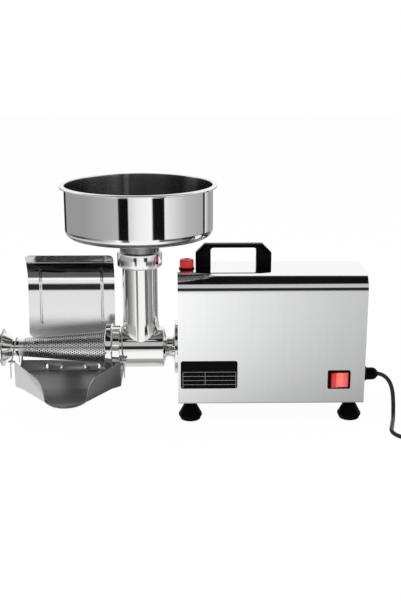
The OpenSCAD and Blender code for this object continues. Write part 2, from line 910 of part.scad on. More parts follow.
// The shaft's front end has a square socket that takes the screw's square end
module output_shaft() {
    x0 = hub_x + rest_gap;
    color("lightsteelblue") difference() {
        rod(x0, cover_x + bearing_w - x0, output_d);
        translate([x0 - over, -square / 2 - square_gap, -square / 2 - square_gap])
            cube([socket_l + over, square + 2 * square_gap, square + 2 * square_gap]);
    }
}

module bearing(x, bore, d, w, y = 0, z = 0) {
    tube(x, w, bore + 2 * bearing_ring, bore + run_gap * 2, y, z);
    tube(x, w, d - run_gap, d - 2 * bearing_ring, y, z);
    tube(x + bearing_groove, w - 2 * bearing_groove, d - bearing_ring, bore + bearing_ring, y, z);
}

module output_bearings() {
    color("silver") {
        bearing(gear_x + gear_face - bearing_w, output_d, bearing_d, bearing_w);
        bearing(cover_x, output_d, bearing_d, bearing_w);
    }
}

module output_seal() {
    color("#202020") tube(hub_x + rest_gap, hub_t - rest_gap, hub_bore - run_gap, output_d + 2 * run_gap);
}

module middle_wheel() {
    turn = high_aim + 180 / middle_wheel_teeth;
    color("goldenrod") translate([0, middle_y, middle_z]) difference() {
        run_x(middle_wheel_x, middle_wheel_t) gear_outline(middle_wheel_teeth, rotor_module, turn);
        rod(middle_wheel_x - over, middle_wheel_t + 2 * over, middle_d);
    }
}

// The pinion that drives the output wheel is cut on the middle shaft
module middle_shaft() {
    x0 = gear_x + gear_wall;
    color("lightsteelblue") translate([0, middle_y, middle_z]) {
        rod(x0, cover_x + cover_t - gear_room - rest_gap - x0, middle_d);
        run_x(wheel_x, wheel_t) gear_outline(middle_teeth, wheel_module, low_aim + 180 + 180 / middle_teeth);
    }
}

module middle_bushes() {
    l = gear_face - gear_wall;
    color("peru") {
        tube(gear_x + gear_wall, l, middle_bush_d - run_gap, middle_d + 2 * run_gap, middle_y, middle_z);
        tube(cover_x, l, middle_bush_d - run_gap, middle_d + 2 * run_gap, middle_y, middle_z);
    }
}

module motor_shell() {
    color("darkslategray") translate([motor_x, 0, rotor_z]) difference() {
        union() {
            rod(0, motor_len, motor_d);
            for (k = [1:shell_ribs]) rotate([360 * k / shell_ribs, 0, 0])
                translate([bell_t, -shell_rib / 2, motor_d / 2 - shell_t]) cube([motor_len - 2 * bell_t, shell_rib,
                    shell_t + shell_rib]);
        }
        rod(bell_t, motor_len, motor_d - 2 * shell_t);
        rod(-over, bell_t + 2 * over, rotor_bearing_d);
    }
}

module motor_end_bell() {
    color("darkslategray") translate([bell_x, 0, rotor_z]) difference() {
        union() {
            rod(0, bell_t, motor_d);
            rod(-bell_t / 2, bell_t, motor_d - 2 * shell_t - run_gap);
        }
        rod(-bell_t, bell_t * 2 + over, rotor_d + 2 * rest_gap);
        rod(-bell_t / 2 - over, rotor_bearing_w + over, rotor_bearing_d);
    }
}

module motor_bearings() {
    color("silver") {
        bearing(motor_x, rotor_d, rotor_bearing_d, bell_t, 0, rotor_z);
        bearing(bell_x - bell_t / 2, rotor_d, rotor_bearing_d, rotor_bearing_w, 0, rotor_z);
    }
}

module stator_core() {
    r = core_bore_d / 2;
    color("gray") translate([motor_x + core_start, 0, rotor_z]) run_x(0, core_l) difference() {
        circle(d = motor_d - 2 * shell_t - run_gap);
        circle(r);
        for (k = [1:slots]) rotate(360 * k / slots) translate([r - over, -slot_w / 2])
            square([slot_h + over, slot_w]);
    }
}

module stator_windings() {
    r = core_bore_d / 2 + winding_r + winding_gap;
    color("chocolate") translate([motor_x + core_start, 0, rotor_z])
        for (x = [-winding_r, core_l + winding_r]) translate([x, 0, 0])
            spin() translate([r, 0]) circle(winding_r);
}

module rotor_core() {
    color("gray") tube(motor_x + core_start, core_l, core_bore_d - 2 * air_gap, rotor_d, 0, rotor_z);
}

// Shaft of the rotor, with the first pinion cut on its end
module rotor_shaft() {
    x0 = middle_wheel_x - 1;
    x1 = bell_x + bell_t + fan_gap + fan_w + shaft_end;
    color("lightsteelblue") translate([0, 0, rotor_z]) {
        run_x(x0, cover_x - x0) gear_outline(rotor_teeth, rotor_module, high_aim + 180);
        rod(cover_x, x1 - cover_x, rotor_d);
    }
}

module cooling_fan() {
    x = bell_x + bell_t + fan_gap;
    color("#303030") translate([x, 0, rotor_z]) {
        run_x(0, fan_plate) difference() {
            circle(d = fan_d);
            circle(d = rotor_d);
        }
        run_x(fan_plate / 2, fan_w - fan_plate / 2) difference() {
            union() {
                circle(d = fan_hub_d);
                for (k = [1:fan_blades]) rotate(360 * (k - 0.5) / fan_blades)
                    translate([0, -fan_plate / 2]) square([fan_d / 2 - fan_plate, fan_plate]);
            }
            circle(d = rotor_d);
        }
    }
}

module motor_cradle() {
    z0 = box_bottom + 2 * sheet;
    color("silver") for (x = [cradle_x, cradle_x + cradle_w - cradle_t]) run_x(x, cradle_t) difference() {
        translate([-cradle_foot, z0]) square([2 * cradle_foot, rotor_z - motor_d / 4 - z0]);
        translate([0, rotor_z]) circle(motor_d / 2 + shell_rib + rest_gap);
    }
    color("silver") translate([cradle_x, -cradle_foot, z0]) cube([cradle_w, 2 * cradle_foot, cradle_t]);
}

module run_capacitor() {
    color("whitesmoke") translate([cap_x, cap_y, box_bottom + 2 * sheet + clip_t]) {
        cylinder(h = can_l, d = can_d);
        for (s = [-1, 1]) translate([s * blade_step - blade_t / 2, -blade_w / 2, can_l])
            cube([blade_t, blade_w, blade_l]);
    }
}

module capacitor_clip() {
    color("silver") translate([cap_x, cap_y, box_bottom + 2 * sheet]) difference() {
        cylinder(h = clip_h, d = can_d + 2 * clip_t);
        translate([0, 0, clip_t]) cylinder(h = clip_h, d = can_d + run_gap);
    }
}

module hub_flange() {
    r = hub_d / 2;
    color("lightgray") difference() {
        spin() polygon([[0, hub_x], [r - hub_edge, hub_x], [r, hub_x + hub_edge], [r, wall_x], [0, wall_x]]);
        rod(hub_x - over, hub_t + 2 * over, hub_bore);
        for (a = [45:90:315]) translate([0, hub_screw_pcd / 2 * cos(a), hub_screw_pcd / 2 * sin(a)]) {
            rod(hub_x - over, hub_t + 2 * over, hub_screw_d + 2 * screw_gap);
            rod(hub_x - over, hub_head_h + over, hub_head_d + 2 * screw_gap);
        }
        for (s = [-1, 1]) rod(hub_x - over, hub_t + 2 * over, stud_d + 2 * screw_gap, s * stud_y);
    }
}

module hub_screws() {
    color("dimgray") for (a = [45:90:315])
        translate([hub_x, hub_screw_pcd / 2 * cos(a), hub_screw_pcd / 2 * sin(a)]) {
            rod(0, hub_head_h, hub_head_d);
            rod(0, hub_screw_l, hub_screw_d);
        }
}

module hub_studs() {
    color("silver") for (s = [-1, 1]) rod(hub_x - stud_out, stud_out + hub_t + sheet + stud_in, stud_d, s * stud_y);
}

module hub_nuts() {
    color("silver") for (s = [-1, 1]) translate([flange_x - nut_h, s * stud_y, 0]) rotate([0, 90, 0]) difference() {
        hex_prism(nut_h, nut_af);
        translate([0, 0, -over]) cylinder(h = nut_h + 2 * over, d = stud_d + run_gap);
    }
}

// Horizontal tube, feed tube and collar of one polished casting
module press_body() {
    color("silver") difference() {
        union() {
            spin() polygon([[0, nut_x], [thread_d / 2, nut_x], [thread_d / 2, -reach_l], [body_r, -reach_l],
                [body_r, reach_r], [neck_d / 2, reach_r + neck_taper], [neck_d / 2, flange_x], [0, flange_x]]);
            cylinder(h = collar_top - collar_h + collar_round, r = feed_r);
            difference() {
                translate([0, 0, skirt_low]) cylinder(h = skirt_high - skirt_low, d1 = skirt_d, r2 = feed_r);
                translate([-skirt_cut - skirt_d, -skirt_d, skirt_low - over])
                    cube([skirt_d, 2 * skirt_d, skirt_high - skirt_low + 2 * over]);
            }
            rotate_extrude() polygon(concat(
                [[0, collar_top - collar_h]],
                arc([collar_r - collar_round, collar_top - collar_h + collar_round], collar_round, -90, 0, 6),
                [[collar_r, collar_top], [0, collar_top]]));
            rod(flange_x, flange_t, flange_d);
            for (s = [-1, 1]) rod(flange_x, flange_t, ear_d, s * stud_y);
            translate([flange_x, -stud_y, -ear_d / 2]) cube([flange_t, 2 * stud_y, ear_d]);
        }
        rod(nut_x - over, reach_r - end_wall - nut_x + over, body_bore);
        rod(0, flange_x + flange_t + over, neck_bore);
        cylinder(h = collar_top + over, d = feed_bore);
        translate([0, 0, spigot_end]) cylinder(h = seat_depth + over, d = collar_bore);
        for (s = [-1, 1]) rod(flange_x - over, flange_t + 2 * over, stud_d + 2 * screw_gap, s * stud_y);
    }
}

module neck_bush() {
    color("peru") tube(reach_r - end_wall + collar_l, flange_x + flange_t - reach_r + end_wall - collar_l,
        neck_bore - run_gap, journal_d + 2 * journal_gap);
}

// Radius of the flight and of the core at a place along the screw
function flight_at(x) = x > cone_x - flight_gap ? cone_d / 2 - cone_t - flight_gap
    : cone_at(x) - cone_t - flight_gap;
function core_at(x) = let (s = (screw_start - x) / (screw_start - screw_tip))
    screw_core_d / 2 + (screw_tip_core_d - screw_core_d) / 2 * s;
// Turn of the flight: its pitch shortens steadily towards the small end
function turn_at(x) = let (s = screw_start - x, l = screw_start - screw_tip)
    360 * (s / feed_pitch + s * s / l / 2 * (1 / press_pitch - 1 / feed_pitch));
module press_screw() {
    ring = concat(
        [for (i = [0:flight_steps]) [flight_angle * (i / flight_steps - 0.5), 1]],
        [for (i = [0:core_steps]) [flight_angle * 0.7 + (360 - flight_angle * 1.4) * i / core_steps, 0]]);
    k = len(ring);
    points = [for (i = [0:screw_rings])
        let (x = screw_start - (screw_start - screw_tip) * i / screw_rings)
        for (p = ring) let (a = p[0] + turn_at(x), r = p[1] == 1 ? flight_at(x) : core_at(x))
            [x, r * cos(a), r * sin(a)]];
    walls = [for (i = [0:screw_rings - 1], j = [0:k - 1])
        let (a = i * k + j, b = i * k + (j + 1) % k)
        each [[a, b, a + k], [b, b + k, a + k]]];
    color("lightgray") polyhedron(points, concat(walls,
        [[for (j = [k - 1:-1:0]) j]], [[for (j = [0:k - 1]) screw_rings * k + j]]));
}

// Shaft behind the screw: thrust collar, journal and square driving end
module screw_shaft() {
    x1 = hub_x + rest_gap + socket_l - rest_gap;
    bush_x = reach_r - end_wall + collar_l;
    color("lightsteelblue") {
        rod(screw_start, bush_x - rest_gap - screw_start, neck_bore - 2 * rest_gap);
        rod(screw_start, hub_x - screw_start, journal_d);
        translate([hub_x - over, -square / 2, -square / 2]) cube([x1 - hub_x + over, square, square]);
    }
}

module ring_nut() {
    r = nut_disc_d / 2;
    hub_from = nut_end + nut_edge;
    color("silver") difference() {
        union() {
            spin() polygon([[0, nut_end], [r - nut_edge, nut_end], [r, nut_end + nut_edge],
                [r, nut_end + nut_disc_l - nut_edge], [r - nut_edge, nut_end + nut_disc_l], [0, nut_end + nut_disc_l]]);
            run_x(hub_from, nut_start - hub_from) difference() {
                circle(d = nut_hub_d);
                for (k = [1:lobes]) rotate(360 * (k - 0.5) / lobes)
                    translate([nut_hub_d / 2 + lobe_d / 2 - lobe_depth, 0]) circle(d = lobe_d);
            }
        }
        rod(cone_x - rest_gap, nut_start - cone_x + rest_gap + over, thread_d + 2 * run_gap);
        rod(nut_end - over, nut_lip + 2 * over, cone_d + 2 * rest_gap);
    }
}

// Perforated cone: rings of holes, each ring turned half a step against its neighbours
module strainer_cone() {
    step = (cone_len - 2 * cone_blank) / (hole_rings - 1);
    color("lightgray") difference() {
        spin() polygon([[thread_d / 2 - rest_gap, nut_x], [thread_d / 2 - rest_gap, cone_x], [cone_d / 2, cone_x],
            [cone_tip_d / 2, cone_end], [cone_tip_d / 2 - cone_t, cone_end],
            [cone_d / 2 - cone_t, cone_x], [cone_d / 2 - cone_t, nut_x]]);
        for (i = [0:hole_rings - 1], j = [1:ring_holes]) let (x = cone_x - cone_blank - i * step)
            rotate([360 * (j + (i % 2) / 2) / ring_holes, 0, 0]) translate([x, 0, cone_at(x) - 3 * cone_t])
                cylinder(h = 5 * cone_t, d = hole_d * min(1, cone_at(x) / (cone_at(x) + hole_d / 4)));
    }
}

module waste_spout() {
    x1 = cone_end - spout_neck;
    x2 = x1 - spout_flare;
    bore = cone_tip_d / 2 - spout_wall;
    color("silver") spin() polygon([[bore, cone_end], [cone_tip_d / 2, cone_end], [cone_tip_d / 2, x1],
        [spout_flare_d / 2, x2], [spout_disc_d / 2, x2], [spout_disc_d / 2, x2 - spout_disc_t],
        [spout_flare_d / 2 - spout_wall, x2 - spout_disc_t], [bore, x1]]);
}

// Open pan with a turned-out rim, a dished floor and an outlet that drops into the collar
module hopper() {
    r = hopper_d / 2;
    t = hopper_t;
    zf = hopper_floor;
    color("gainsboro") rotate_extrude() polygon(concat(
        [[spigot_r, spigot_end], [spigot_r, zf - hopper_drop]],
        arc([r - hopper_r, zf + hopper_r], hopper_r, -90, 0, 8),
        [[r, hopper_top - t], [rim_d / 2 - t, hopper_top - t], [rim_d / 2 - t, hopper_top - rim_lip],
            [rim_d / 2, hopper_top - rim_lip], [rim_d / 2, hopper_top], [r - t, hopper_top]],
        arc([r - hopper_r, zf + hopper_r], hopper_r - t, 0, -90, 8),
        [[spigot_r - spigot_t, zf - hopper_drop + t], [spigot_r - spigot_t, spigot_end]]));
}

// Corners of the tray's walls in plan
tray_half = tray_w / 2;
tray_plan = [[-tray_half, tray_back], [tray_half, tray_back], [tray_half, tray_front],
    [spout_w / 2, tray_nose], [-spout_w / 2, tray_nose], [-tray_half, tray_front]];
// Height of the floor's upper face, as points across the tray
floor_line = [[tray_back + tray_t, floor_back], [fold_y, floor_fold], [tray_nose - nose_reach - tray_t, floor_tip]];

module tray_wall(p, q) {
    v = q - p;
    a = atan2(v.y, v.x);
    h = tray_top - floor_tip;
    translate([p.x, p.y, floor_tip]) rotate(a) translate([0, -tray_t / 2, 0]) cube([norm(v), tray_t, h]);
    for (c = [p, q]) translate([c.x, c.y, floor_tip]) cylinder(h = h, d = tray_t, $fn = 24);
}

module tray_floor() {
    sag = nose_reach;
    half = spout_w / 2;
    r = (half * half + sag * sag) / (2 * sag);
    intersection() {
        translate([0, 0, floor_tip - tray_t - over]) linear_extrude(tray_top - floor_tip) union() {
            polygon(tray_plan);
            intersection() {
                translate([0, tray_nose - sag + r]) circle(r);
                translate([-half, tray_nose - sag - over]) square([2 * half, sag + over]);
            }
        }
        run_x(-tray_w, 2 * tray_w) polygon(concat(floor_line,
            [for (i = [2:-1:0]) floor_line[i] - [0, tray_t]]));
    }
}

// Front view of what is cut away above the spout, drawn for one side
module spout_cut(s) {
    top = tray_top + over;
    drop = tray_top - shoulder_drop;
    foot = floor_tip - over;
    polygon([for (p = concat([[0, top], [tray_half + over, top], [tray_half + over, tray_top], [shoulder_x, drop]],
        arc([shoulder_x, drop - shoulder_r] , shoulder_r, 90, 172, 6),
        [[spout_w / 2 - tray_t, foot], [0, foot]])) [s * p.x, p.y]]);
}

module juice_tray() {
    depth = -tray_nose + nose_reach;
    color("silver") translate([tray_x, 0, 0]) {
        tray_floor();
        difference() {
            for (i = [0:5]) if (i != 3) tray_wall(tray_plan[i], tray_plan[(i + 1) % 6]);
            run_x(-tray_w, 2 * tray_w) polygon(concat(
                [for (p = floor_line) p - [0, tray_t / 2]],
                [[tray_nose - nose_reach - tray_t, floor_tip - over - tray_t],
                    [tray_back + tray_t, floor_tip - over - tray_t]]));
            rod(-tray_w, 2 * tray_w, 2 * notch_r);
            for (s = [-1, 1]) run_y(tray_front - tray_t, depth) spout_cut(s);
            translate([-tray_w / 2 + tray_t, tray_back - over, back_top])
                cube([tray_w - 2 * tray_t, 2 * over, tray_top - back_top + over]);
            for (s = [-1, 1]) run_y(tray_back + over, 2 * over)
                translate([s * drain_x, drain_z + drain_h / 2]) slot_hole(drain_w, drain_h);
        }
        for (s = [-1, 1], e = [-1, 1]) difference() {
            translate([s * (tray_half + ear_l / 2), e * ear_y, tray_top - tray_t / 2])
                cube([ear_l, ear_w, tray_t], center = true);
            translate([s * (tray_half + ear_out + eye_shift / 2), e * ear_y, tray_top - 2 * tray_t])
                linear_extrude(3 * tray_t) slot_hole(ear_hole + eye_shift, ear_hole);
        }
    }
}

// Side view of the guard's sheet between two distances from its middle plane
function lean_at(i) = guard_lean - (guard_lean + guard_turn) * i / guard_steps;
function out(a) = [cos(a), -sin(a)];
function along(a) = [sin(a), cos(a)];
guard_foot = [guard_y, guard_z];
guard_knee = guard_foot + guard_len * along(guard_lean);
guard_centre = guard_knee - guard_r * out(guard_lean);
function guard_side(off) = concat(
    [guard_foot + off * out(guard_lean)],
    [for (i = [0:guard_steps]) guard_centre + (guard_r + off) * out(lean_at(i))],
    [guard_centre + (guard_r + off) * out(-guard_turn) + guard_top * along(-guard_turn)]);
function guard_strip(a, b) = let (f = guard_side(a), g = guard_side(b))
    concat(f, [for (i = [len(g) - 1:-1:0]) g[i]]);

module splash_guard() {
    t = guard_t / 2;
    y1 = tray_back + tray_t / 2 + rest_gap;
    y2 = guard_y + t;
    tab_z = drain_z + rest_gap;
    high = guard_side(0)[guard_steps + 2].y + guard_t;
    color("silver") translate([tray_x, 0, 0]) {
        intersection() {
            run_x(-guard_w / 2, guard_w) polygon(guard_strip(-t, t));
            run_y(box_d, 2 * box_d) translate([0, (high + guard_z) / 2])
                rounded(guard_w, high - guard_z, guard_corner);
        }
        intersection() {
            run_x(-guard_w / 2, guard_w) polygon(guard_strip(-t - rib_h, 0));
            for (s = [-1, 1]) run_y(box_d, 2 * box_d) translate([s * rib_x, (rib_low + rib_high) / 2])
                rotate(90) slot_hole(rib_high - rib_low, rib_w);
        }
        translate([-tongue_w / 2, y2 - guard_t, drain_z]) cube([tongue_w, guard_t, guard_z - drain_z + guard_corner / 4]);
        translate([-drain_x - tab_w / 2, y2 - guard_t, drain_z]) cube([2 * drain_x + tab_w, guard_t, foot_bar_h]);
        for (s = [-1, 1]) translate([s * drain_x - tab_w / 2, 0, tab_z]) {
            translate([0, tray_back - tray_t / 2 - rest_gap - guard_t, 0])
                cube([tab_w, y2 - tray_back + tray_t / 2 + rest_gap + guard_t, guard_t]);
            translate([0, tray_back - tray_t / 2 - rest_gap - guard_t, 0]) cube([tab_w, guard_t, tab_up]);
        }
    }
}

// Wire over a round neck, down through an ear on each side, round once as an eye and on as a tail
function hanger_leg(s, e) = let (z = tray_top - tray_t - rest_gap, y = ear_y - hanger_eye, last = z - tail_l)
    concat(
        [[0, s * ear_y, tray_top + wire_d], [0, s * ear_y, z]],
        [for (i = [1:eye_steps - 1]) let (a = -360 * i / eye_steps)
            [e * eye_shift * i / eye_steps, s * (y + hanger_eye * cos(a)), z + hanger_eye * sin(a)]],
        [[e * eye_shift, s * ear_y, z], [e * eye_shift, s * (ear_y + wire_d / 4), (z + last) / 2],
            [e * eye_shift, s * (ear_y + wire_d), last]]);
module hanger(x, r, e) {
    big = r + rest_gap + wire_d / 2;
    top = tray_top + wire_d;
    tilt = acos(big / norm([ear_y, top])) - atan2(-top, ear_y);
    left = hanger_leg(1, e);
    color("gainsboro") translate([x, 0, 0]) sweep(concat(
        [for (i = [len(left) - 1:-1:0]) left[i]],
        [for (i = [0:arch_steps]) let (a = tilt + (180 - 2 * tilt) * i / arch_steps)
            [-e * arch_lean * sin(a), big * cos(a), big * sin(a)]],
        hanger_leg(-1, e)), wire_d, wire_sides);
}

module body_hanger() {
    hanger(tray_x + tray_half + ear_out, body_r, 1);
}

module strainer_hanger() {
    hanger(tray_x - tray_half - ear_out, cone_tip_d / 2, -1);
}

module power_cord() {
    color("#151515") sweep(cord_route, cord_d, cord_sides);
}

// The coil spirals in on the floor, climbs in half a turn and spirals out on top
coil_all = 2 * coil_turns + coil_reverse;
function coil_at(t) =
    let (
        inward = min(t, coil_turns + coil_reverse / 2),
        outward = max(0, t - coil_turns - coil_reverse / 2),
        climb = min(1, max(0, (t - coil_turns) / coil_reverse)),
        r = coil_r - coil_step * (inward - outward),
        a = -90 + 360 * t
    )
    [coil_c.x + r * cos(a), coil_c.y + r * sin(a), coil_rise + coil_layer * climb];
coil_points = let (n = ceil(coil_all * coil_rings)) [for (i = [0:n]) coil_at(coil_all * i / n)];
coil_last = coil_points[len(coil_points) - 1];
coil_path = concat([coil_points[0], coil_points[0] + [cord_d / 4, 0, 0]],
    [for (i = [2:len(coil_points) - 1]) coil_points[i]],
    [coil_last + [0, cord_d / 2, 0], coil_last + [0, coil_run, 0]]);
function path_length(p) = let (l = [for (i = [1:len(p) - 1]) norm(p[i] - p[i - 1])]) l * [for (v = l) 1];
coil_gap = min([for (i = [0:len(coil_path) - 1], j = [0:len(coil_path) - 1])
    if (j > i + coil_rings / 2) norm(coil_path[i] - coil_path[j])]) - cord_d;
echo(cord_length = path_length(cord_route) + path_length(coil_path), coil_least_gap = coil_gap);

module cord_coil() {
    color("#151515") sweep(coil_path, cord_d, coil_sides);
}

module plug_body() {
    p = coil_last + [0, coil_run, 0];
    color("#151515") translate(p) {
        translate([0, boot_l, 0]) rotate([90, 0, 0]) cylinder(h = boot_l, d2 = boot_d, d1 = head_h - 2 * head_r);
        translate([0, boot_l + head_l, 0]) rotate([90, 0, 0]) linear_extrude(head_l) rounded(head_w, head_h, head_r);
    }
}

module plug_pins() {
    y = coil_last.y + coil_run + boot_l + head_l;
    color("silver") {
        for (s = [-1, 1]) translate([coil_last.x + s * pin_gap / 2 - pin_t / 2, y, coil_last.z])
            cube([pin_t, pin_l, pin_w]);
        translate([coil_last.x, y, coil_last.z - earth_drop]) rotate([-90, 0, 0]) cylinder(h = earth_l, d = earth_d);
    }
}

place() base_chassis();
place() housing_cover();
place() cover_screws();
place() rating_plate();
place() carry_handle();
place() handle_screws();
place() oil_filler_plug();
place() oil_plug_seal();
place() switch_housing();
place() switch_rocker();
place() gland_body();
place() gland_nut();
place() gland_locknut();
place() rubber_feet();
place() foot_screws();
place() motor_shell();
place() stator_core();
place() stator_windings();
place() motor_end_bell();
place() rotor_core();
place() rotor_shaft();
place() cooling_fan();
place() motor_bearings();
place() run_capacitor();
place() capacitor_clip();
place() motor_cradle();
place() gearbox_housing();
place() gearbox_cover();
place() gearbox_screws();
place() middle_wheel();
place() middle_shaft();
place() middle_bushes();
place() output_wheel();
place() output_shaft();
place() output_bearings();
place() output_seal();
place() hub_flange();
place() hub_screws();
place() hub_studs();
place() hub_nuts();
place() press_body();
place() neck_bush();
place() press_screw();
place() screw_shaft();
place() ring_nut();
place() strainer_cone();
place() waste_spout();
place() hopper();
place() juice_tray();
place() splash_guard();
place() body_hanger();
place() strainer_hanger();
power_cord();
cord_coil();
plug_body();
plug_pins();
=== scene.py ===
"""Dresses the electric tomato press: finishes, the finely perforated cone, cord, studio and camera."""
import json
import math

import bmesh
import bpy
from mathutils import Matrix, Vector

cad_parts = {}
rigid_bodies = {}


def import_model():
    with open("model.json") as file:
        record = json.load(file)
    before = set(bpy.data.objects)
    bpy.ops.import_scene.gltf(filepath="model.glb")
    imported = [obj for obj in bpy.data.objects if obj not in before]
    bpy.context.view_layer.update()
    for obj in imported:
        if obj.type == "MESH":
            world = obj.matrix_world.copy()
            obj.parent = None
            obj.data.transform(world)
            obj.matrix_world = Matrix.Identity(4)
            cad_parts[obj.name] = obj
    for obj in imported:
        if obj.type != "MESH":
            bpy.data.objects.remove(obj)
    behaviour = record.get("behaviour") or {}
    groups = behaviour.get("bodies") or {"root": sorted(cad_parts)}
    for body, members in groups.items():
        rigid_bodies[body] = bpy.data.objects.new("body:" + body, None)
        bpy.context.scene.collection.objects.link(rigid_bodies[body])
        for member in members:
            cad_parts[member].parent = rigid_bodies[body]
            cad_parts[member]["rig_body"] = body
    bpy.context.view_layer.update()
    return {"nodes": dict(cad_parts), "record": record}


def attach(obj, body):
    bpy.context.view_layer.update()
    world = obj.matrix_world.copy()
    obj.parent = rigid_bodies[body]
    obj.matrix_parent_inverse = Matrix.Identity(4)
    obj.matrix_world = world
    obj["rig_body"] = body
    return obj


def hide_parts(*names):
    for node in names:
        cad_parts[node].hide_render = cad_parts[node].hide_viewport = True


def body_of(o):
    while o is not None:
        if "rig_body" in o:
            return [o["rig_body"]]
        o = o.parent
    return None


bl_info = {
    "name": "Tomato press dressing",
    "version": (1, 0, 0),
    "blender": (4, 5, 0),
    "location": "3D View > Sidebar > Tomato press",
    "description": "Finishes and fine pieces of an electric tomato press",
    "category": "Object",
}

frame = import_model()
SLOTS = {part["node"]: part["material_slot"] for part in frame["record"]["subparts"]}
MM = 0.001
# The crossing of the feed tube's and the screw's axes in the solids' own frame, in millimetres
CROSSING = (-75.75, 0.0, 106.0)


def at(*place):
    """A point given from the crossing of the axes, in millimetres."""
    return Vector([(way + middle) * MM for way, middle in zip(place, CROSSING)])


# Node trees and materials

def operation(name, turned=False):
    """A method that makes a Math node of a wire and other values, in turned order if asked."""
    def method(self, *others):
        values = (self, *others)
        return self.graph.maths(name, *(values[::-1] if turned else values))
    return method


class Wire:
    """A node's output socket that can be used in Python expressions."""

    def __init__(self, graph, socket):
        self.graph, self.socket = graph, socket

    __add__ = __radd__ = operation("ADD")
    __mul__ = __rmul__ = operation("MULTIPLY")
    __sub__, __rsub__ = operation("SUBTRACT"), operation("SUBTRACT", turned=True)
    __truediv__, __rtruediv__ = operation("DIVIDE"), operation("DIVIDE", turned=True)
    __pow__, __rpow__ = operation("POWER"), operation("POWER", turned=True)
    __lt__, __gt__ = operation("LESS_THAN"), operation("GREATER_THAN")
    low, high, abs, root = (operation(name) for name in ("MINIMUM", "MAXIMUM", "ABSOLUTE", "SQRT"))
    sine, cosine, ceil, floor = (operation(name) for name in ("SINE", "COSINE", "CEIL", "FLOOR"))
    angle = operation("ARCTAN2")

    def clamped(self):
        return self.high(0.0).low(1.0)

    def ramp(self, *stops):
        """A colour ramp over this wire, from stops that hold a place and a grey or a colour."""
        out = self.graph.add("ShaderNodeValToRGB", inputs={"Fac": self})
        elements = out.socket.node.color_ramp.elements
        while len(elements) < len(stops):
            elements.new(0.5)
        for element, (place, shade) in zip(elements, stops):
            element.position = place
            element.color = opaque(shade)
        return out


def opaque(shade):
    """A grey or a colour, with its alpha."""
    return (shade, shade, shade, 1) if isinstance(shade, (int, float)) else (*shade, 1)


class Graph:
    """A node tree that is built by calls."""

    def __init__(self, tree):
        self.tree = tree

    def add(self, kind, settings=None, inputs=None, out=0):
        """One node, its settings first, then the values or links of its inputs; gives the output asked for."""
        node = self.tree.nodes.new(kind)
        for key, value in (settings or {}).items():
            setattr(node, key, value)
        for key, value in (inputs or {}).items():
            if isinstance(value, Wire):
                self.tree.links.new(value.socket, node.inputs[key])
            else:
                node.inputs[key].default_value = value
        return Wire(self, node.outputs[out])

    def maths(self, operation, *values):
        return self.add("ShaderNodeMath", {"operation": operation}, dict(enumerate(values)))

    def parts(self, vector):
        """The X, Y and Z of a vector."""
        node = self.add("ShaderNodeSeparateXYZ", inputs={0: vector}).socket.node
        return [Wire(self, socket) for socket in node.outputs]

    def vector(self, x, y, z):
        return self.add("ShaderNodeCombineXYZ", inputs={0: x, 1: y, 2: z})

    def rays(self):
        """Two wires: 1 for the camera's rays, and 1 for those that a gloss sends out."""
        node = self.add("ShaderNodeLightPath").socket.node
        return [Wire(self, node.outputs[name]) for name in ("Is Camera Ray", "Is Glossy Ray")]


class Repeat(Graph):
    """A Geometry Nodes tree with named sizes, used as a modifier on a small mesh that it repeats or bends."""

    def __init__(self, name, **sizes):
        super().__init__(bpy.data.node_groups.new(name, "GeometryNodeTree"))
        self.sizes = sizes
        sockets = self.tree.interface
        for way in ("INPUT", "OUTPUT"):
            sockets.new_socket("Geometry", in_out=way, socket_type="NodeSocketGeometry")
        for key, value in sizes.items():
            sockets.new_socket(key, in_out="INPUT", socket_type="NodeSocketFloat").default_value = value
        self.entry = self.tree.nodes.new("NodeGroupInput")
        self.geometry = Wire(self, self.entry.outputs["Geometry"])

    def size(self, name):
        return Wire(self, self.entry.outputs[name])

    def made(self, base, material):
        """The plain mesh that the tree makes of a base mesh."""
        real = self.add("GeometryNodeRealizeInstances", inputs={0: self.geometry})
        done = self.add("GeometryNodeSetMaterial", inputs={"Geometry": real, "Material": material})
        self.tree.links.new(done.socket, self.tree.nodes.new("NodeGroupOutput").inputs[0])
        holder = placed(self.tree.name, base)
        modifier = holder.modifiers.new("repeat", "NODES")
        modifier.node_group = self.tree
        for item in self.tree.interface.items_tree:
            if item.item_type == "SOCKET" and item.in_out == "INPUT" and item.name in self.sizes:
                modifier[item.identifier] = self.sizes[item.name]
        mesh = evaluated(holder)
        holder.modifiers.clear()
        bpy.data.objects.remove(holder)
        return mesh


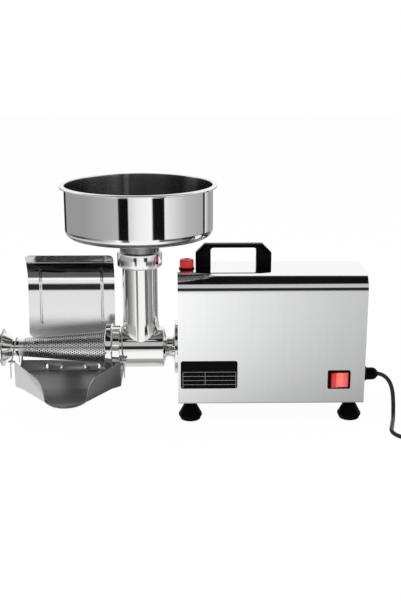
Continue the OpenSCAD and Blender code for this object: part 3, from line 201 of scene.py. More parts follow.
class Finish(Graph):
    """A surface material, made of one Principled shader."""

    def __init__(self, name, **constants):
        self.material = bpy.data.materials.new(name)
        self.material.use_nodes = True
        super().__init__(self.material.node_tree)
        self.shader = self.tree.nodes["Principled BSDF"]
        for key, value in constants.items():
            self.shader.inputs[key.replace("_", " ")].default_value = value
        self.place = self.add("ShaderNodeTexCoord", out=3)

    def own(self):
        """X, Y and Z from the crossing of the axes, in metres."""
        return [way - middle * MM for way, middle in zip(self.parts(self.place), CROSSING)]

    def noise(self, scale, stretch=None, detail=3.0):
        """Noise, drawn out along the ways that stretch makes small."""
        vector = self.place
        if stretch:
            vector = self.add("ShaderNodeMapping", inputs={"Vector": vector, "Scale": stretch})
        return self.add("ShaderNodeTexNoise", inputs={"Vector": vector, "Scale": scale, "Detail": detail})

    def rolled(self, broad, fine):
        """The blotches and the fine lines in a rolled sheet's gloss."""
        return self.noise(60.0, detail=2.0) * broad + self.noise(900.0, (0.02, 1, 1)) * fine

    def blend(self, fac, low, high):
        """A colour between two, each a wire, a grey or a colour."""
        low, high = (end if isinstance(end, Wire) else opaque(end) for end in (low, high))
        return self.add("ShaderNodeMix", {"data_type": "RGBA"}, {0: fac, 6: low, 7: high}, out=2)

    def toned(self, fac, colour, share):
        """A colour that gets darker and lighter by a share."""
        return self.blend(fac, [c * (1 - share) for c in colour], [min(1.0, c * (1 + share)) for c in colour])

    def made(self, colour, roughness, bump=None):
        """The material with its colour, its roughness and a bump of height, distance in metres and strength."""
        inputs = {"Base Color": colour, "Roughness": roughness}
        if bump:
            height, distance, strength = bump
            inputs["Normal"] = self.add("ShaderNodeBump",
                inputs={"Height": height, "Distance": distance, "Strength": strength})
        for key, wire in inputs.items():
            self.tree.links.new(wire.socket, self.shader.inputs[key])
        return self.material


def metal(name, shade, roughness, spread=0.05, wave=0.0, grain=None, share=0.04):
    """Bare metal whose gloss and tone vary a little; grain draws the fine lines out along one way."""
    finish = Finish(name, Metallic=1.0)
    fine = finish.noise(900.0, grain or (1, 1, 1), detail=4.0)
    tone = finish.noise(9.0, detail=2.0) * 0.5 + fine * 0.5
    bump = None
    if wave or grain:
        height = fine * (0.25 if grain else 0.02) + finish.noise(26.0, detail=1.0) * wave
        bump = height, 0.0004 if wave else 0.00006, 0.6
    return finish.made(finish.toned(tone, shade, share), tone * spread + (roughness - spread / 2), bump)


def plastic(name, colour, roughness, grain=0.0, coat=0.0, shine=0.5):
    """Moulded plastic or rubber with a fine grain."""
    finish = Finish(name, Coat_Weight=coat, Coat_Roughness=0.08, Specular_IOR_Level=shine)
    tone = finish.noise(45.0, detail=2.0)
    bump = (finish.noise(1400.0, detail=2.0), grain, 0.5) if grain else None
    return finish.made(finish.toned(tone, colour, 0.15), tone * 0.08 + (roughness - 0.04), bump)


def box_of(node):
    """The two far corners of a solid's box, in metres."""
    corners = [vertex.co for vertex in frame["nodes"][node].data.vertices]
    return [Vector([extreme(c[i] for c in corners) for i in range(3)]) for extreme in (min, max)]


def brushed_sheet(name):
    """The housing's steel: fine upright lines on its walls, with painted shade that darkens them to the right and
    downwards as in the photo, polished over the bends and the top."""
    # The painted shade's light left at the right-hand end and its share lost at the foot, and the dark rim's height
    # in metres
    end, loss, rim = 0.57, 0.33, 0.0013
    finish = Finish(name, Metallic=1.0)
    x, _, z = finish.parts(finish.place)
    low, high = box_of("housing_cover")
    bend = settings().bend
    streaks = finish.noise(260.0, (1, 1, 0.012), detail=2.0)
    grain = finish.noise(1100.0, (1, 1, 0.01))
    walls = ((high[2] - 0.7 * bend - z) / (0.3 * bend)).clamped()
    across = (x - low[0]) / (high[0] - low[0]) * walls
    under = ((high[2] - bend - z) / (high[2] - bend - low[2])).high(0.0)
    # Painted shade: the walls darken to the right and towards their foot
    painted_shade = end ** across * (1.0 - under ** 1.7 * loss)
    edge = 1.0 - ((z - low[2]) < rim) * 0.5
    tone = (streaks * 0.6 + grain * 0.4 - 0.5) * walls * 0.07 + 1.0
    return finish.made(finish.blend(painted_shade * edge * tone, 0.0, settings().sheet),
        walls * 0.06 + 0.06 + (grain - 0.5) * 0.02)


def red_key(name):
    """The switch key: painted shade on its raised side and a painted highlight on the other."""
    middle, width = 309.0, 26.6
    finish = Finish(name, Coat_Weight=0.3, Coat_Roughness=0.08)
    across = (finish.own()[0] - (middle - width / 2) * MM) / (width * MM)
    # Painted shade on the left, darkest at its edge, and a painted highlight in the lighter reds across the rest
    half, deep, red = ([c * share for c in settings().red] for share in (0.5, 0.75, 1.0))
    return finish.made(across.ramp((0, half), (0.10, deep), (0.30, red), (0.34, (0.92, 0.13, 0.10)),
        (0.62, (0.95, 0.20, 0.16)), (1.0, (0.80, 0.04, 0.035))), finish.noise(45.0, detail=2.0) * 0.08 + 0.21)


def sheet_with(name, bright, dull, gloss, matt, part):
    """Bare sheet that turns matt and darker, with painted shade, where part gives 1, from the finish and the place
    by own().
    """
    finish = Finish(name, Metallic=1.0)
    inside = part(finish, *finish.own())
    # Where part gives 1, painted shade darkens the colour and the finish turns matt
    return finish.made(finish.blend(inside, bright, dull),
        inside * (matt - gloss) + finish.rolled(0.03, 0.02) + (gloss - 0.025))


def hopper_sheet(name):
    """The pan's sheet: polished outside; duller and darker inside, with painted reflections of the room as upright
    light and dark streaks.
    """
    wall = 0.1134
    finish = Finish(name, Metallic=1.0)
    x, y, _ = finish.own()
    inside = (x * x + y * y).root() < wall
    # The angle from the back, -90 to 90 degrees
    turn = x.angle(y) / math.pi + 0.5
    # Painted reflection: light and dark upright streaks round the inside, by the angle from the back
    streaks = turn.ramp((0, 0.25), (0.22, 0.30), (0.27, 0.75), (0.38, 0.62), (0.41, 0.25), (0.43, 0.8),
        (0.445, 0.30), (0.60, 0.32), (0.70, 0.28), (0.73, 0.7), (0.78, 0.6), (0.81, 0.25), (1.0, 0.3))
    return finish.made(finish.blend(inside, 0.92, streaks), inside * 0.2 + finish.rolled(0.02, 0.01) + 0.02)


def guard_sheet(name):
    """The splash guard's sheet: matt at its foot and polished above, with a painted dark reflection in a band
    across the curve.
    """
    finish = Finish(name, Metallic=1.0)
    height = finish.own()[2]
    # The ramp covers 200 mm of height; the matt foot ends at 44 mm and fades over 25 mm
    # Painted reflection: the dark band from about 102 to 130 mm up
    bands = (height * 5.0).ramp((0, 0.93), (0.5, 0.96), (0.512, 0.10), (0.588, 0.08), (0.597, 0.03),
        (0.635, 0.03), (0.648, 1.0))
    matt = ((0.044 - height) / 0.025).clamped()
    return finish.made(bands, matt * 0.34 + finish.rolled(0.06, 0.04) + 0.03)


def tray_sheet(name):
    """Satin sheet with painted shade: darker and rougher on the faces that look up into the tray or to the right.
    """
    return sheet_with(name, 0.98, 0.25, 0.30, 0.38, lambda finish, *place: finish.add("ShaderNodeAttribute",
        {"attribute_name": "dull"}, out=2))


def perforated_metal(name):
    """The cone's bright outer skin over an inside darkened with painted shade, which shows through the holes."""
    cone = ConeOperator
    slope = (cone.BIG - cone.TIP) / (cone.START - cone.END)
    # Painted shade: the inner faces, inside the outer skin's radius, are nearly black
    return sheet_with(name, 0.96, 0.015, 0.32, 0.5, lambda finish, x, y, z: (y * y + z * z).root() <
        (x - cone.END * MM) * slope + (cone.TIP - 0.15) * MM)


def ruled_plate(name):
    """Black plate with a thin grey ruled frame: four rows, of which three are split once. It is bare otherwise."""
    line, split = 0.00025, 0.42
    finish = Finish(name, Specular_IOR_Level=0.03)
    x, _, z = finish.own()
    left, right, low, high = settings().plate_frame
    row = (high - low) / 4
    mask = 0.0
    for i in range(5):
        mask = (((z - (low + i * row)).abs() < line) * (x - left > -line) * (x - right < line)).high(mask)
    for place, foot in ((left, low), (right, low), (left + (right - left) * split, low + row)):
        mask = (((x - place).abs() < line) * (z - foot > 0.0) * (z - high < 0.0)).high(mask)
    tone = finish.noise(60.0, detail=2.0)
    return finish.made(finish.blend(mask, finish.blend(tone, 0.002, 0.004), (0.34, 0.34, 0.35)), tone * 0.1 + 0.3)


def laminations(name):
    """The motor's core, ruled every millimetre."""
    finish = Finish(name, Metallic=0.8)
    lines = (finish.parts(finish.place)[0] * (2 * math.pi / MM)).sine()
    tone = finish.noise(80.0)
    return finish.made(finish.blend(tone, (0.20, 0.20, 0.21), (0.36, 0.36, 0.38)), tone * 0.2 + 0.4,
        (lines, 0.0001, 0.5))


def windings(name):
    """The motor's copper: 160 wires round its axis."""
    axis, wires = 0.172, 160.0
    finish = Finish(name, Metallic=0.7, Coat_Weight=0.6)
    _, y, z = finish.parts(finish.place)
    lines = (y.angle(z - axis) * wires).sine()
    tone = finish.noise(60.0)
    return finish.made(finish.blend(tone, (0.30, 0.09, 0.03), (0.62, 0.25, 0.09)), tone * 0.2 + 0.25,
        (lines, 0.0004, 0.6))


# Each bare metal's colour, roughness, its spread, the casting's waves, the grain's stretch and the tone's share
METALS = {
    "stainless_sheet": ((0.84, 0.84, 0.84), 0.10, 0.03, 0.0, None, 0.02),
    "stainless_wire": ((0.72, 0.72, 0.71), 0.18),
    "polished_cast_iron": ((0.92, 0.92, 0.91), 0.08, 0.04, 0.12, None, 0.03),
    "zinc_plated_steel": ((0.62, 0.62, 0.60), 0.26),
    "nickel_plated_brass": ((0.70, 0.66, 0.58), 0.22),
    "steel": ((0.56, 0.56, 0.57), 0.24, 0.08, 0.0, (0.02, 1, 1)),
    "gear_bronze": ((0.72, 0.50, 0.24), 0.28, 0.08),
    "bush_bronze": ((0.62, 0.38, 0.18), 0.32, 0.08),
}
# Each plastic's, rubber's or paint's colour, roughness, depth of grain in metres, coat and shine
PLASTICS = {
    "black_nylon": ((0.001, 0.001, 0.001), 0.30, 0.00004, 0.0, 0.06),
    "black_rubber": ((0.001, 0.001, 0.001), 0.4, 0.00005, 0.0, 0.04),
    "black_pvc": ((0.012, 0.012, 0.013), 0.34, 0.00003, 0.0, 0.35),
    "painted_aluminium": ((0.16, 0.17, 0.19), 0.45, 0.00012),
    "white_plastic": ((0.72, 0.72, 0.70), 0.4),
}
OTHERS = {
    "hopper_sheet": hopper_sheet, "guard_sheet": guard_sheet, "tray_sheet": tray_sheet, "red_key": red_key,
    "brushed_sheet": brushed_sheet, "perforated_stainless": perforated_metal, "black_plate": ruled_plate,
    "laminated_steel": laminations, "copper_wire": windings,
}
BRUSHED = ("housing_cover", "base_chassis")
FINISHES = {}


# Meshes and pieces

def placed(name, data):
    """A new object in the scene."""
    holder = bpy.data.objects.new(name, data)
    bpy.context.scene.collection.objects.link(holder)
    return holder


def new_piece(name, mesh, *nodes, angle=35.0, finish=None):
    """A finished mesh becomes a piece that stands for one node or more, on the first one's body."""
    slot = SLOTS[nodes[0]]
    mesh.name = name
    mesh.materials.clear()
    mesh.materials.append(FINISHES[finish or slot])
    mesh.shade_smooth()
    mesh.set_sharp_from_angle(angle=math.radians(angle))
    piece = placed(name, mesh)
    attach(piece, body_of(frame["nodes"][nodes[0]])[0])
    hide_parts(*nodes)
    return piece


def evaluated(holder):
    """The plain mesh that an object's modifiers make."""
    return bpy.data.meshes.new_from_object(holder.evaluated_get(bpy.context.evaluated_depsgraph_get()))


def ended(work):
    """Ends a bmesh as a mesh."""
    mesh = bpy.data.meshes.new("mesh")
    work.to_mesh(mesh)
    work.free()
    return mesh


def polar(radius, angle):
    return radius * math.cos(angle), radius * math.sin(angle)


def eased(share):
    """A share of 0 to 1 that starts and ends gently."""
    share = min(1.0, max(0.0, share))
    return share * share * (3 - 2 * share)


def joined(*meshes):
    """One mesh of several."""
    work = bmesh.new()
    for mesh in meshes:
        work.from_mesh(mesh)
        bpy.data.meshes.remove(mesh)
    return ended(work)


def skinned(rings, ends="capped"):
    """A mesh from rings of points, with its first and last ring capped, joined to each other or open."""
    work = bmesh.new()
    rings = [[work.verts.new(place) for place in ring] for ring in rings]
    for one, two in zip(rings, rings[1:] + rings[:1] if ends == "joined" else rings[1:]):
        for k in range(len(one)):
            m = (k + 1) % len(one)
            work.faces.new((one[k], one[m], two[m], two[k]))
    if ends == "capped":
        work.faces.new(rings[0][::-1])
        work.faces.new(rings[-1])
    if ends == "joined":
        bmesh.ops.remove_doubles(work, verts=work.verts, dist=1e-7)
        bmesh.ops.dissolve_degenerate(work, edges=work.edges, dist=1e-7)
    if ends != "open":
        bmesh.ops.recalc_face_normals(work, faces=work.faces)
    return ended(work)


def lathe(profile, axis="Z", origin=(0, 0, 0), steps=240):
    """Turns a closed profile of (radius, height) in millimetres round X or Z through a point."""
    rings = []
    for i in range(steps):
        a = 2 * math.pi * i / steps
        ring = [(*polar(r, a), h) if axis == "Z" else (h, *polar(r, a)) for r, h in profile]
        rings.append([at(*(o + p for o, p in zip(origin, place))) for place in ring])
    return skinned(rings, "joined")


def extruded(outline, axis, start, length):
    """Pushes a closed outline, in millimetres, along X, Y or Z; it holds the other two in their order."""
    where = "XYZ".index(axis)
    return skinned([[at(*point[:where], far, *point[where:]) for point in outline]
        for far in (start, start + length)])


def combined(solid, others=(), cuts=()):
    """One closed mesh: a solid with others joined to it and cuts taken from it."""
    objects = [placed("solid", mesh) for mesh in (solid, *others, *cuts)]
    for i, other in enumerate(objects[1:]):
        step = objects[0].modifiers.new("step", "BOOLEAN")
        step.operation = "UNION" if i < len(others) else "DIFFERENCE"
        step.solver = "EXACT"
        step.object = other
    out = evaluated(objects[0])
    for holder in objects:
        mesh = holder.data
        bpy.data.objects.remove(holder)
        bpy.data.meshes.remove(mesh)
    return out


def bevelled(mesh, width):
    """Rounds a mesh's sharp edges by a width in millimetres."""
    work = bmesh.new()
    work.from_mesh(mesh)
    bmesh.ops.dissolve_limit(work, angle_limit=math.radians(0.5), verts=work.verts, edges=work.edges)
    sharp = [e for e in work.edges if e.is_manifold and e.calc_face_angle() > math.radians(30)]
    bmesh.ops.bevel(work, geom=sharp, offset=width * MM, segments=2, profile=0.5, affect="EDGES",
        clamp_overlap=True)
    work.to_mesh(mesh)
    work.free()
    return mesh


def copied(node):
    """A solid's mesh as one skin, its split edges merged."""
    work = bmesh.new()
    work.from_mesh(frame["nodes"][node].data)
    bmesh.ops.remove_doubles(work, verts=work.verts, dist=2e-6)
    return ended(work)


def softened(node, width, finish=None):
    """A finer look for a solid: its own skin with rounded edges."""
    return new_piece(node + "_look", bevelled(copied(node), width), node, finish=finish)


def rounded(corners, steps=6):
    """A closed outline's points, from corners given as x, y and the radius that rounds each."""
    out = []
    for i, (x, y, radius) in enumerate(corners):
        here = Vector((x, y))
        one = (Vector(corners[i - 1][:2]) - here).normalized()
        two = (Vector(corners[(i + 1) % len(corners)][:2]) - here).normalized()
        half = one.angle(two) / 2
        if not radius or half > math.radians(89.5):
            out.append((x, y))
            continue
        centre = here + (one + two).normalized() * radius / math.sin(half)
        start, end = (here + way * radius / math.tan(half) - centre for way in (one, two))
        sweep = math.pi - 2 * half
        for k in range(steps + 1):
            a = sweep * k / steps
            out.append(tuple(centre + (start * math.sin(sweep - a) + end * math.sin(a)) / math.sin(sweep)))
    return out


def smooth_line(points, step):
    """A smooth curve through points, as points not further apart than step."""
    out = []
    for i, (p1, p2) in enumerate(zip(points, points[1:])):
        p0, p3 = points[max(i - 1, 0)], points[min(i + 2, len(points) - 1)]
        parts = max(1, math.ceil((p2 - p1).length / step))
        for k in range(parts):
            t = k / parts
            out.append(0.5 * ((2 * p1) + (p2 - p0) * t + (2 * p0 - 5 * p1 + 4 * p2 - p3) * t * t
                + (3 * p1 - p0 - 3 * p2 + p3) * t ** 3))
    out.append(points[-1].copy())
    return out


def tube(path, radius, sides):
    """A round tube along points, closed at both ends, with no twist."""
    last = Vector((0, 0.001, 1))
    turns = [2 * math.pi * k / sides for k in range(sides)]
    rings = []
    for i, p in enumerate(path):
        way = (path[min(i + 1, len(path) - 1)] - path[max(i - 1, 0)]).normalized()
        last = (last - last.dot(way) * way).normalized()
        up = way.cross(last)
        rings.append([p + radius * (math.cos(a) * last + math.sin(a) * up) for a in turns])
    return skinned(rings)


class PressSettings(bpy.types.PropertyGroup):
    """Sizes and colours that a user would change"""

    sheet: bpy.props.FloatVectorProperty(name="Housing steel", description="Colour of the brushed housing",
        default=(0.985, 0.99, 0.995), min=0, max=1, subtype="COLOR")
    bend: bpy.props.FloatProperty(name="Bend", default=0.028, unit="LENGTH",
        description="Radius of the bends along the housing's two top edges")
    red: bpy.props.FloatVectorProperty(name="Red plastic", default=(0.78, 0.012, 0.015), min=0, max=1,
        subtype="COLOR", description="Colour of the filler plug and the switch key")
    hole: bpy.props.FloatProperty(name="Hole", description="Diameter of one hole of the strainer cone",
        default=0.0023, unit="LENGTH")
    hole_step: bpy.props.FloatProperty(name="Hole spacing", description="Distance from one hole to the next",
        default=0.0038, unit="LENGTH")
    plate_frame: bpy.props.FloatVectorProperty(name="Plate frame", size=4, unit="LENGTH",
        description="Left, right, lowest and highest line of the ruled frame, from the press axes",
        default=(0.0665, 0.1485, -0.0495, -0.0222))
    cord: bpy.props.FloatProperty(name="Cord", description="Diameter of the mains cord", default=0.0065,
        unit="LENGTH")


def settings():
    return bpy.context.scene.tomato_press


class FinishOperator(bpy.types.Operator):
    """Gives every solid its finish"""
    bl_idname = "tomato_press.finishes"
    bl_label = "Finishes"

    def execute(self, context):
        FINISHES.update({name: metal(name, *values) for name, values in METALS.items()})
        FINISHES.update({name: plastic(name, *values) for name, values in PLASTICS.items()})
        FINISHES.update({name: make(name) for name, make in OTHERS.items()})
        FINISHES["red_plastic"] = plastic("red_plastic", settings().red, 0.25, coat=0.3)
        for node in frame["nodes"]:
            materials = frame["nodes"][node].data.materials
            materials.clear()
            materials.append(FINISHES["brushed_sheet" if node in BRUSHED else SLOTS[node]])
        return {"FINISHED"}


class CordOperator(bpy.types.Operator):
    """The mains cord: its free stretch, the coil outside the picture and the plug"""
    bl_idname = "tomato_press.cord"
    bl_label = "Mains cord"

    # Points from the gland to the coil, in the solids' own frame, in millimetres
    ROUTE = [
        (291.3, -38, 72), (294.5, -38, 72), (297.2, -38, 72), (305.8, -38, 69.2), (312.8, -38, 63.7),
        (317.9, -38, 56.3), (321.2, -38, 48), (323.2, -38, 39.2), (324.4, -38, 30.3), (324.9, -39.5, 21.5),
        (324.5, -43.7, 13.5), (323.4, -50.1, 7.4), (321.6, -58.1, 4.2), (319.4, -66.7, 3.5), (317, -75.4, 3.5),
        (314.7, -84.1, 3.5), (312.3, -92.8, 3.5), (310, -101.5, 3.5), (309.6, -110.4, 3.5), (311.9, -119.1, 3.5),
        (316.7, -126.6, 3.5), (323.6, -132.4, 3.5), (331.9, -135.7, 3.5), (340.9, -136.4, 3.5),
        (349.9, -136.4, 3.5), (358.9, -136.4, 3.5), (367.9, -136.4, 3.5), (376.9, -136.4, 3.5),
        (386.1, -136.4, 3.5)]
    # The coil's middle, its outer radius, heights and steps in millimetres, and its turns
    CENTRE, RADIUS, RISE, STEP, LAYER, TURNS, REVERSE, RUN = (386.1, -89.9), 46.5, 3.5, 7.0, 7.0, 2.875, 0.5, 13.0
    PER_TURN = 36

    def execute(self, context):
        path = smooth_line([Vector(p) * MM for p in self.ROUTE], 0.003)[:-1] + self.coil()
        cord = new_piece("mains_cord", tube(path, settings().cord / 2, 20), "power_cord", "cord_coil")
        plug = softened("plug_body", 1.5)
        return {"FINISHED"}

    def coil(self):
        """The coil spirals in on the floor, climbs in half a turn and spirals out on top."""
        total = 2 * self.TURNS + self.REVERSE
        count = math.ceil(total * self.PER_TURN)
        out = []
        for i in range(count + 1):
            t = total * i / count
            inward = min(t, self.TURNS + self.REVERSE / 2)
            outward = max(0.0, t - self.TURNS - self.REVERSE / 2)
            climb = eased((t - self.TURNS) / self.REVERSE)
            x, y = polar(self.RADIUS - self.STEP * (inward - outward), math.radians(-90 + 360 * t))
            out.append(Vector((self.CENTRE[0] + x, self.CENTRE[1] + y, self.RISE + self.LAYER * climb)) * MM)
        last = out[-1]
        return out + [last + Vector((0, self.RUN * part, 0)) * MM for part in (0.25, 0.5, 0.75, 1.0)]


class ConeOperator(bpy.types.Operator):
    """The strainer cone: flat perforated sheet rolled into a cone, with plain bands at its ends and a seam"""
    bl_idname = "tomato_press.cone"
    bl_label = "Strainer cone"

    # The two outer radii and their places on the axis, the wall, and the bands' width and height over the sheet
    BIG, TIP, START, END, WALL, BAND, PROUD = 26.5, 14.2, -47.5, -193.5, 1.0, 8.0, 0.04
    # The flange's radius and outer face, the seam's half width and turn, and how far sheet and bands overlap
    FLANGE, SEAT, SEAM, SEAM_TURN, LAP = 29.4, -46.0, 2.9, -45.0, 1.2
    # How far the holes stay from the seam's middle, and the distance within which points merge
    CLEAR, WELD = 2.5, 0.02

    def execute(self, context):
        s = settings()
        across, along = s.hole_step / MM, s.hole_step / MM * math.sin(math.radians(60))
        tree = Repeat("perforated_cone", across=across * MM, along=along * MM, big=self.BIG * MM,
            tip=self.TIP * MM, length=(self.START - self.END) * MM, margin=(self.BAND - self.LAP) * MM,
            start_x=at(self.START, 0, 0).x, axis_z=at(0, 0, 0).z)
        self.roll(tree)
        sheet = tree.made(self.tile(across, along, s.hole / MM / 2), FINISHES["perforated_stainless"])
        new_piece("strainer_cone_sheet", joined(sheet, *self.bands(), self.seam()), "strainer_cone")
        return {"FINISHED"}

    def tile(self, across, along, radius):
        """One cell of the sheet with its hole, lying flat, its outer face upwards."""
        turns = [math.pi / 4 * k for k in range(8)]
        edge = [(along / 2 * round(math.cos(a)), across / 2 * round(math.sin(a))) for a in turns]
        hole = [polar(radius, a) for a in turns]
        return skinned([[(x * MM, y * MM, -h * MM) for x, y in points]
            for points, h in ((edge, 0), (hole, 0), (hole, self.WALL), (edge, self.WALL))], "open")

    def roll(self, t):
        """Points in staggered rows on the flat sheet, a tile on each, and the sheet rolled round the axis."""
        across, along, big, tip, length, margin, start_x, axis_z = map(t.size, t.sizes)
        tilt = t.maths("ARCTANGENT", (big - tip) / length)
        sine, cosine = tilt.sine(), tilt.cosine()
        far, near = big / sine, tip / sine
        half = sine * math.pi
        width = (half.sine() * far / across).ceil() * 2.0 + 3.0
        rows = ((far - near * half.cosine()) / along).ceil() + 2.0
        index = t.add("GeometryNodeInputIndex")
        row = ((index + 0.5) / width).floor()
        column = index - row * width
        y = (column - (width - 1.0) / 2.0 + t.maths("FLOORED_MODULO", row, 2.0) * 0.5) * across
        x = far - (row - 0.5) * along
        points = t.add("GeometryNodePoints", inputs={"Count": rows * width, "Position": t.vector(x, y, 0.0)})
        radius, turn = (x * x + y * y).root(), y.angle(x).abs()
        kept = (radius > near + margin) * (radius < far - margin) * (turn < half - self.CLEAR * MM / radius)
        laid = t.add("GeometryNodeInstanceOnPoints", inputs={"Points": points, "Selection": kept,
            "Instance": t.geometry})
        flat = t.add("GeometryNodeRealizeInstances", inputs={0: laid})
        px, py, pz = t.parts(t.add("GeometryNodeInputPosition"))
        reach = (px * px + py * py).root()
        angle = py.angle(px) / sine + math.radians(180 + self.SEAM_TURN)
        out = reach * sine + pz * cosine
        place = t.vector(start_x + (reach - far) * cosine - pz * sine, out * angle.cosine(),
            axis_z + out * angle.sine())
        rolled = t.add("GeometryNodeSetPosition", inputs={"Geometry": flat, "Position": place})
        t.geometry = t.add("GeometryNodeMergeByDistance", inputs={"Geometry": rolled, "Distance": self.WELD * MM})

    def radius(self, x):
        return self.TIP + (self.BIG - self.TIP) * (x - self.END) / (self.START - self.END)

    def bands(self):
        """The plain ends: the flange in the ring nut's seat and the hem at the waste outlet."""
        rise, start, end, bore = self.PROUD, self.START, self.END, self.TIP - self.WALL
        inner, low = start - self.BAND, end + self.BAND
        deep = self.WALL + rise
        big = [(self.FLANGE, self.SEAT), (self.FLANGE, start), (self.BIG + rise, start),
            (self.radius(inner) + rise, inner), (self.radius(inner) - deep, inner), (self.BIG - deep, start),
            (self.BIG - deep, self.SEAT)]
        tip = [(self.radius(low) + rise, low), (self.TIP, end + 0.5), (self.TIP, end), (bore, end),
            (bore, end + 0.5), (self.radius(low) - deep, low)]
        return [lathe(profile, "X", steps=96) for profile in (big, tip)]

    def seam(self):
        """The welded seam along the cone's lower back."""
        section = [(self.PROUD, k / 4) for k in range(-4, 5)]
        section += [(-self.WALL - self.PROUD, side) for _, side in section[::-1]]
        rings = []
        for i in range(25):
            x = self.START - 2 + (self.END - self.START + 4) * i / 24
            r = self.radius(x)
            rings.append([at(x, *polar(r + h, math.radians(self.SEAM_TURN) + side * self.SEAM / r))
                for h, side in section])
        return skinned(rings)


class HopperOperator(bpy.types.Operator):
    """The hopper pan: rolled rim, coved floor that falls to the spigot"""
    bl_idname = "tomato_press.hopper"
    bl_label = "Hopper pan"

    # Radius, height and rounding of the sheet's section, the inside first
    SECTION = ((30.7, 140, 0.4), (30.7, 176, 3.5), (114, 183.95, 10.5), (114, 197, 0), (114, 257, 0),
        (114, 261, 1.2), (119.5, 261, 0.6), (119.5, 258.1, 0.4), (120.5, 258.1, 0.4), (120.5, 262, 1.9),
        (113, 262, 2.4), (113, 184.9, 9.5), (28.2, 177, 5), (28.2, 140, 0.4))

    def execute(self, context):
        new_piece("hopper_pan", lathe(rounded(self.SECTION, 8)), "hopper", angle=50, finish="hopper_sheet")
        return {"FINISHED"}


class BodyOperator(bpy.types.Operator):
    """The cast press body: feed tube, collar, tube for the screw, neck and mounting ears, with its bores"""
    bl_idname = "tomato_press.body"
    bl_label = "Press body"

    # Where the neck's disc and the mounting ears start, and their thickness
    FACE, THICK = 50.4, 3
    # Sections of what is turned round X and round Z: radius, place along the axis and rounding
    TUBE = ((0, -46, 0), (29.7, -46, 0.6), (29.7, -30, 0), (32, -30, 0.5), (32, 36, 2.0), (16, 40.5, 2.5),
        (16, FACE, 0), (0, FACE, 0))
    DISC = ((0, FACE, 0), (18.5, FACE, 0.5), (18.5, FACE + THICK, 0), (0, FACE + THICK, 0))
    COLLAR = ((0, 132.5, 0), (35, 132.5, 4.0), (35, 156.5, 1.2), (0, 156.5, 0))
    FEED = ((0, 0), (27.5, 0), (27.5, 55), (27.5, 60), (27.5, 131), (27.5, 136.5), (0, 136.5))
    FLARE = ((0, 18), (33.6, 18), (31.6, 25), (30.2, 30), (29.0, 36), (28.2, 42), (27.7, 48), (27.4, 53), (0, 53))
    # The flare is narrower towards the viewer, so that the tube's foot runs out in a V, and ends at the ring nut
    NARROW, NUT, ROOM = 0.81, -27.9, 40
    # Each bore's radius, start, end, axis, distance from the axis and steps
    BORES = ((27, -47, 31, "X", 0, 240), (13, 0, 55, "X", 0, 120), (24, 0, 158, "Z", 0, 240),
        (31, 140, 158, "Z", 0, 240), (4.15, 49, 55, "X", -24, 48), (4.15, 49, 55, "X", 24, 48))
    # A mounting ear's radius, and how far its middle lies to the side
    EAR, ASIDE = 8.5, 24

    def execute(self, context):
        flare = lathe(self.FLARE)
        flare.transform(Matrix.Scale(self.NARROW, 4, (0, 1, 0)))
        beyond = extruded([(-self.ROOM, 10), (self.ROOM, 10), (self.ROOM, 60), (-self.ROOM, 60)], "X",
            -self.ROOM, self.NUT + self.ROOM)
        ears = []
        for y, start in ((self.ASIDE, -90), (-self.ASIDE, 90)):
            turns = [polar(self.EAR, math.radians(start + 180 * i / 24)) for i in range(25)]
            ears += [(y + u, v) for u, v in turns]
        added = (lathe(self.FEED), combined(flare, cuts=(beyond,)), lathe(rounded(self.COLLAR)),
            lathe(rounded(self.DISC), "X", steps=120), extruded(ears, "X", self.FACE, self.THICK))
        bores = [lathe([(0, start), (r, start), (r, end), (0, end)], axis, (0, y, 0), steps)
            for r, start, end, axis, y, steps in self.BORES]
        mesh = combined(lathe(rounded(self.TUBE), "X"), added, bores)
        new_piece("press_body_cast", mesh, "press_body", angle=28)
        return {"FINISHED"}


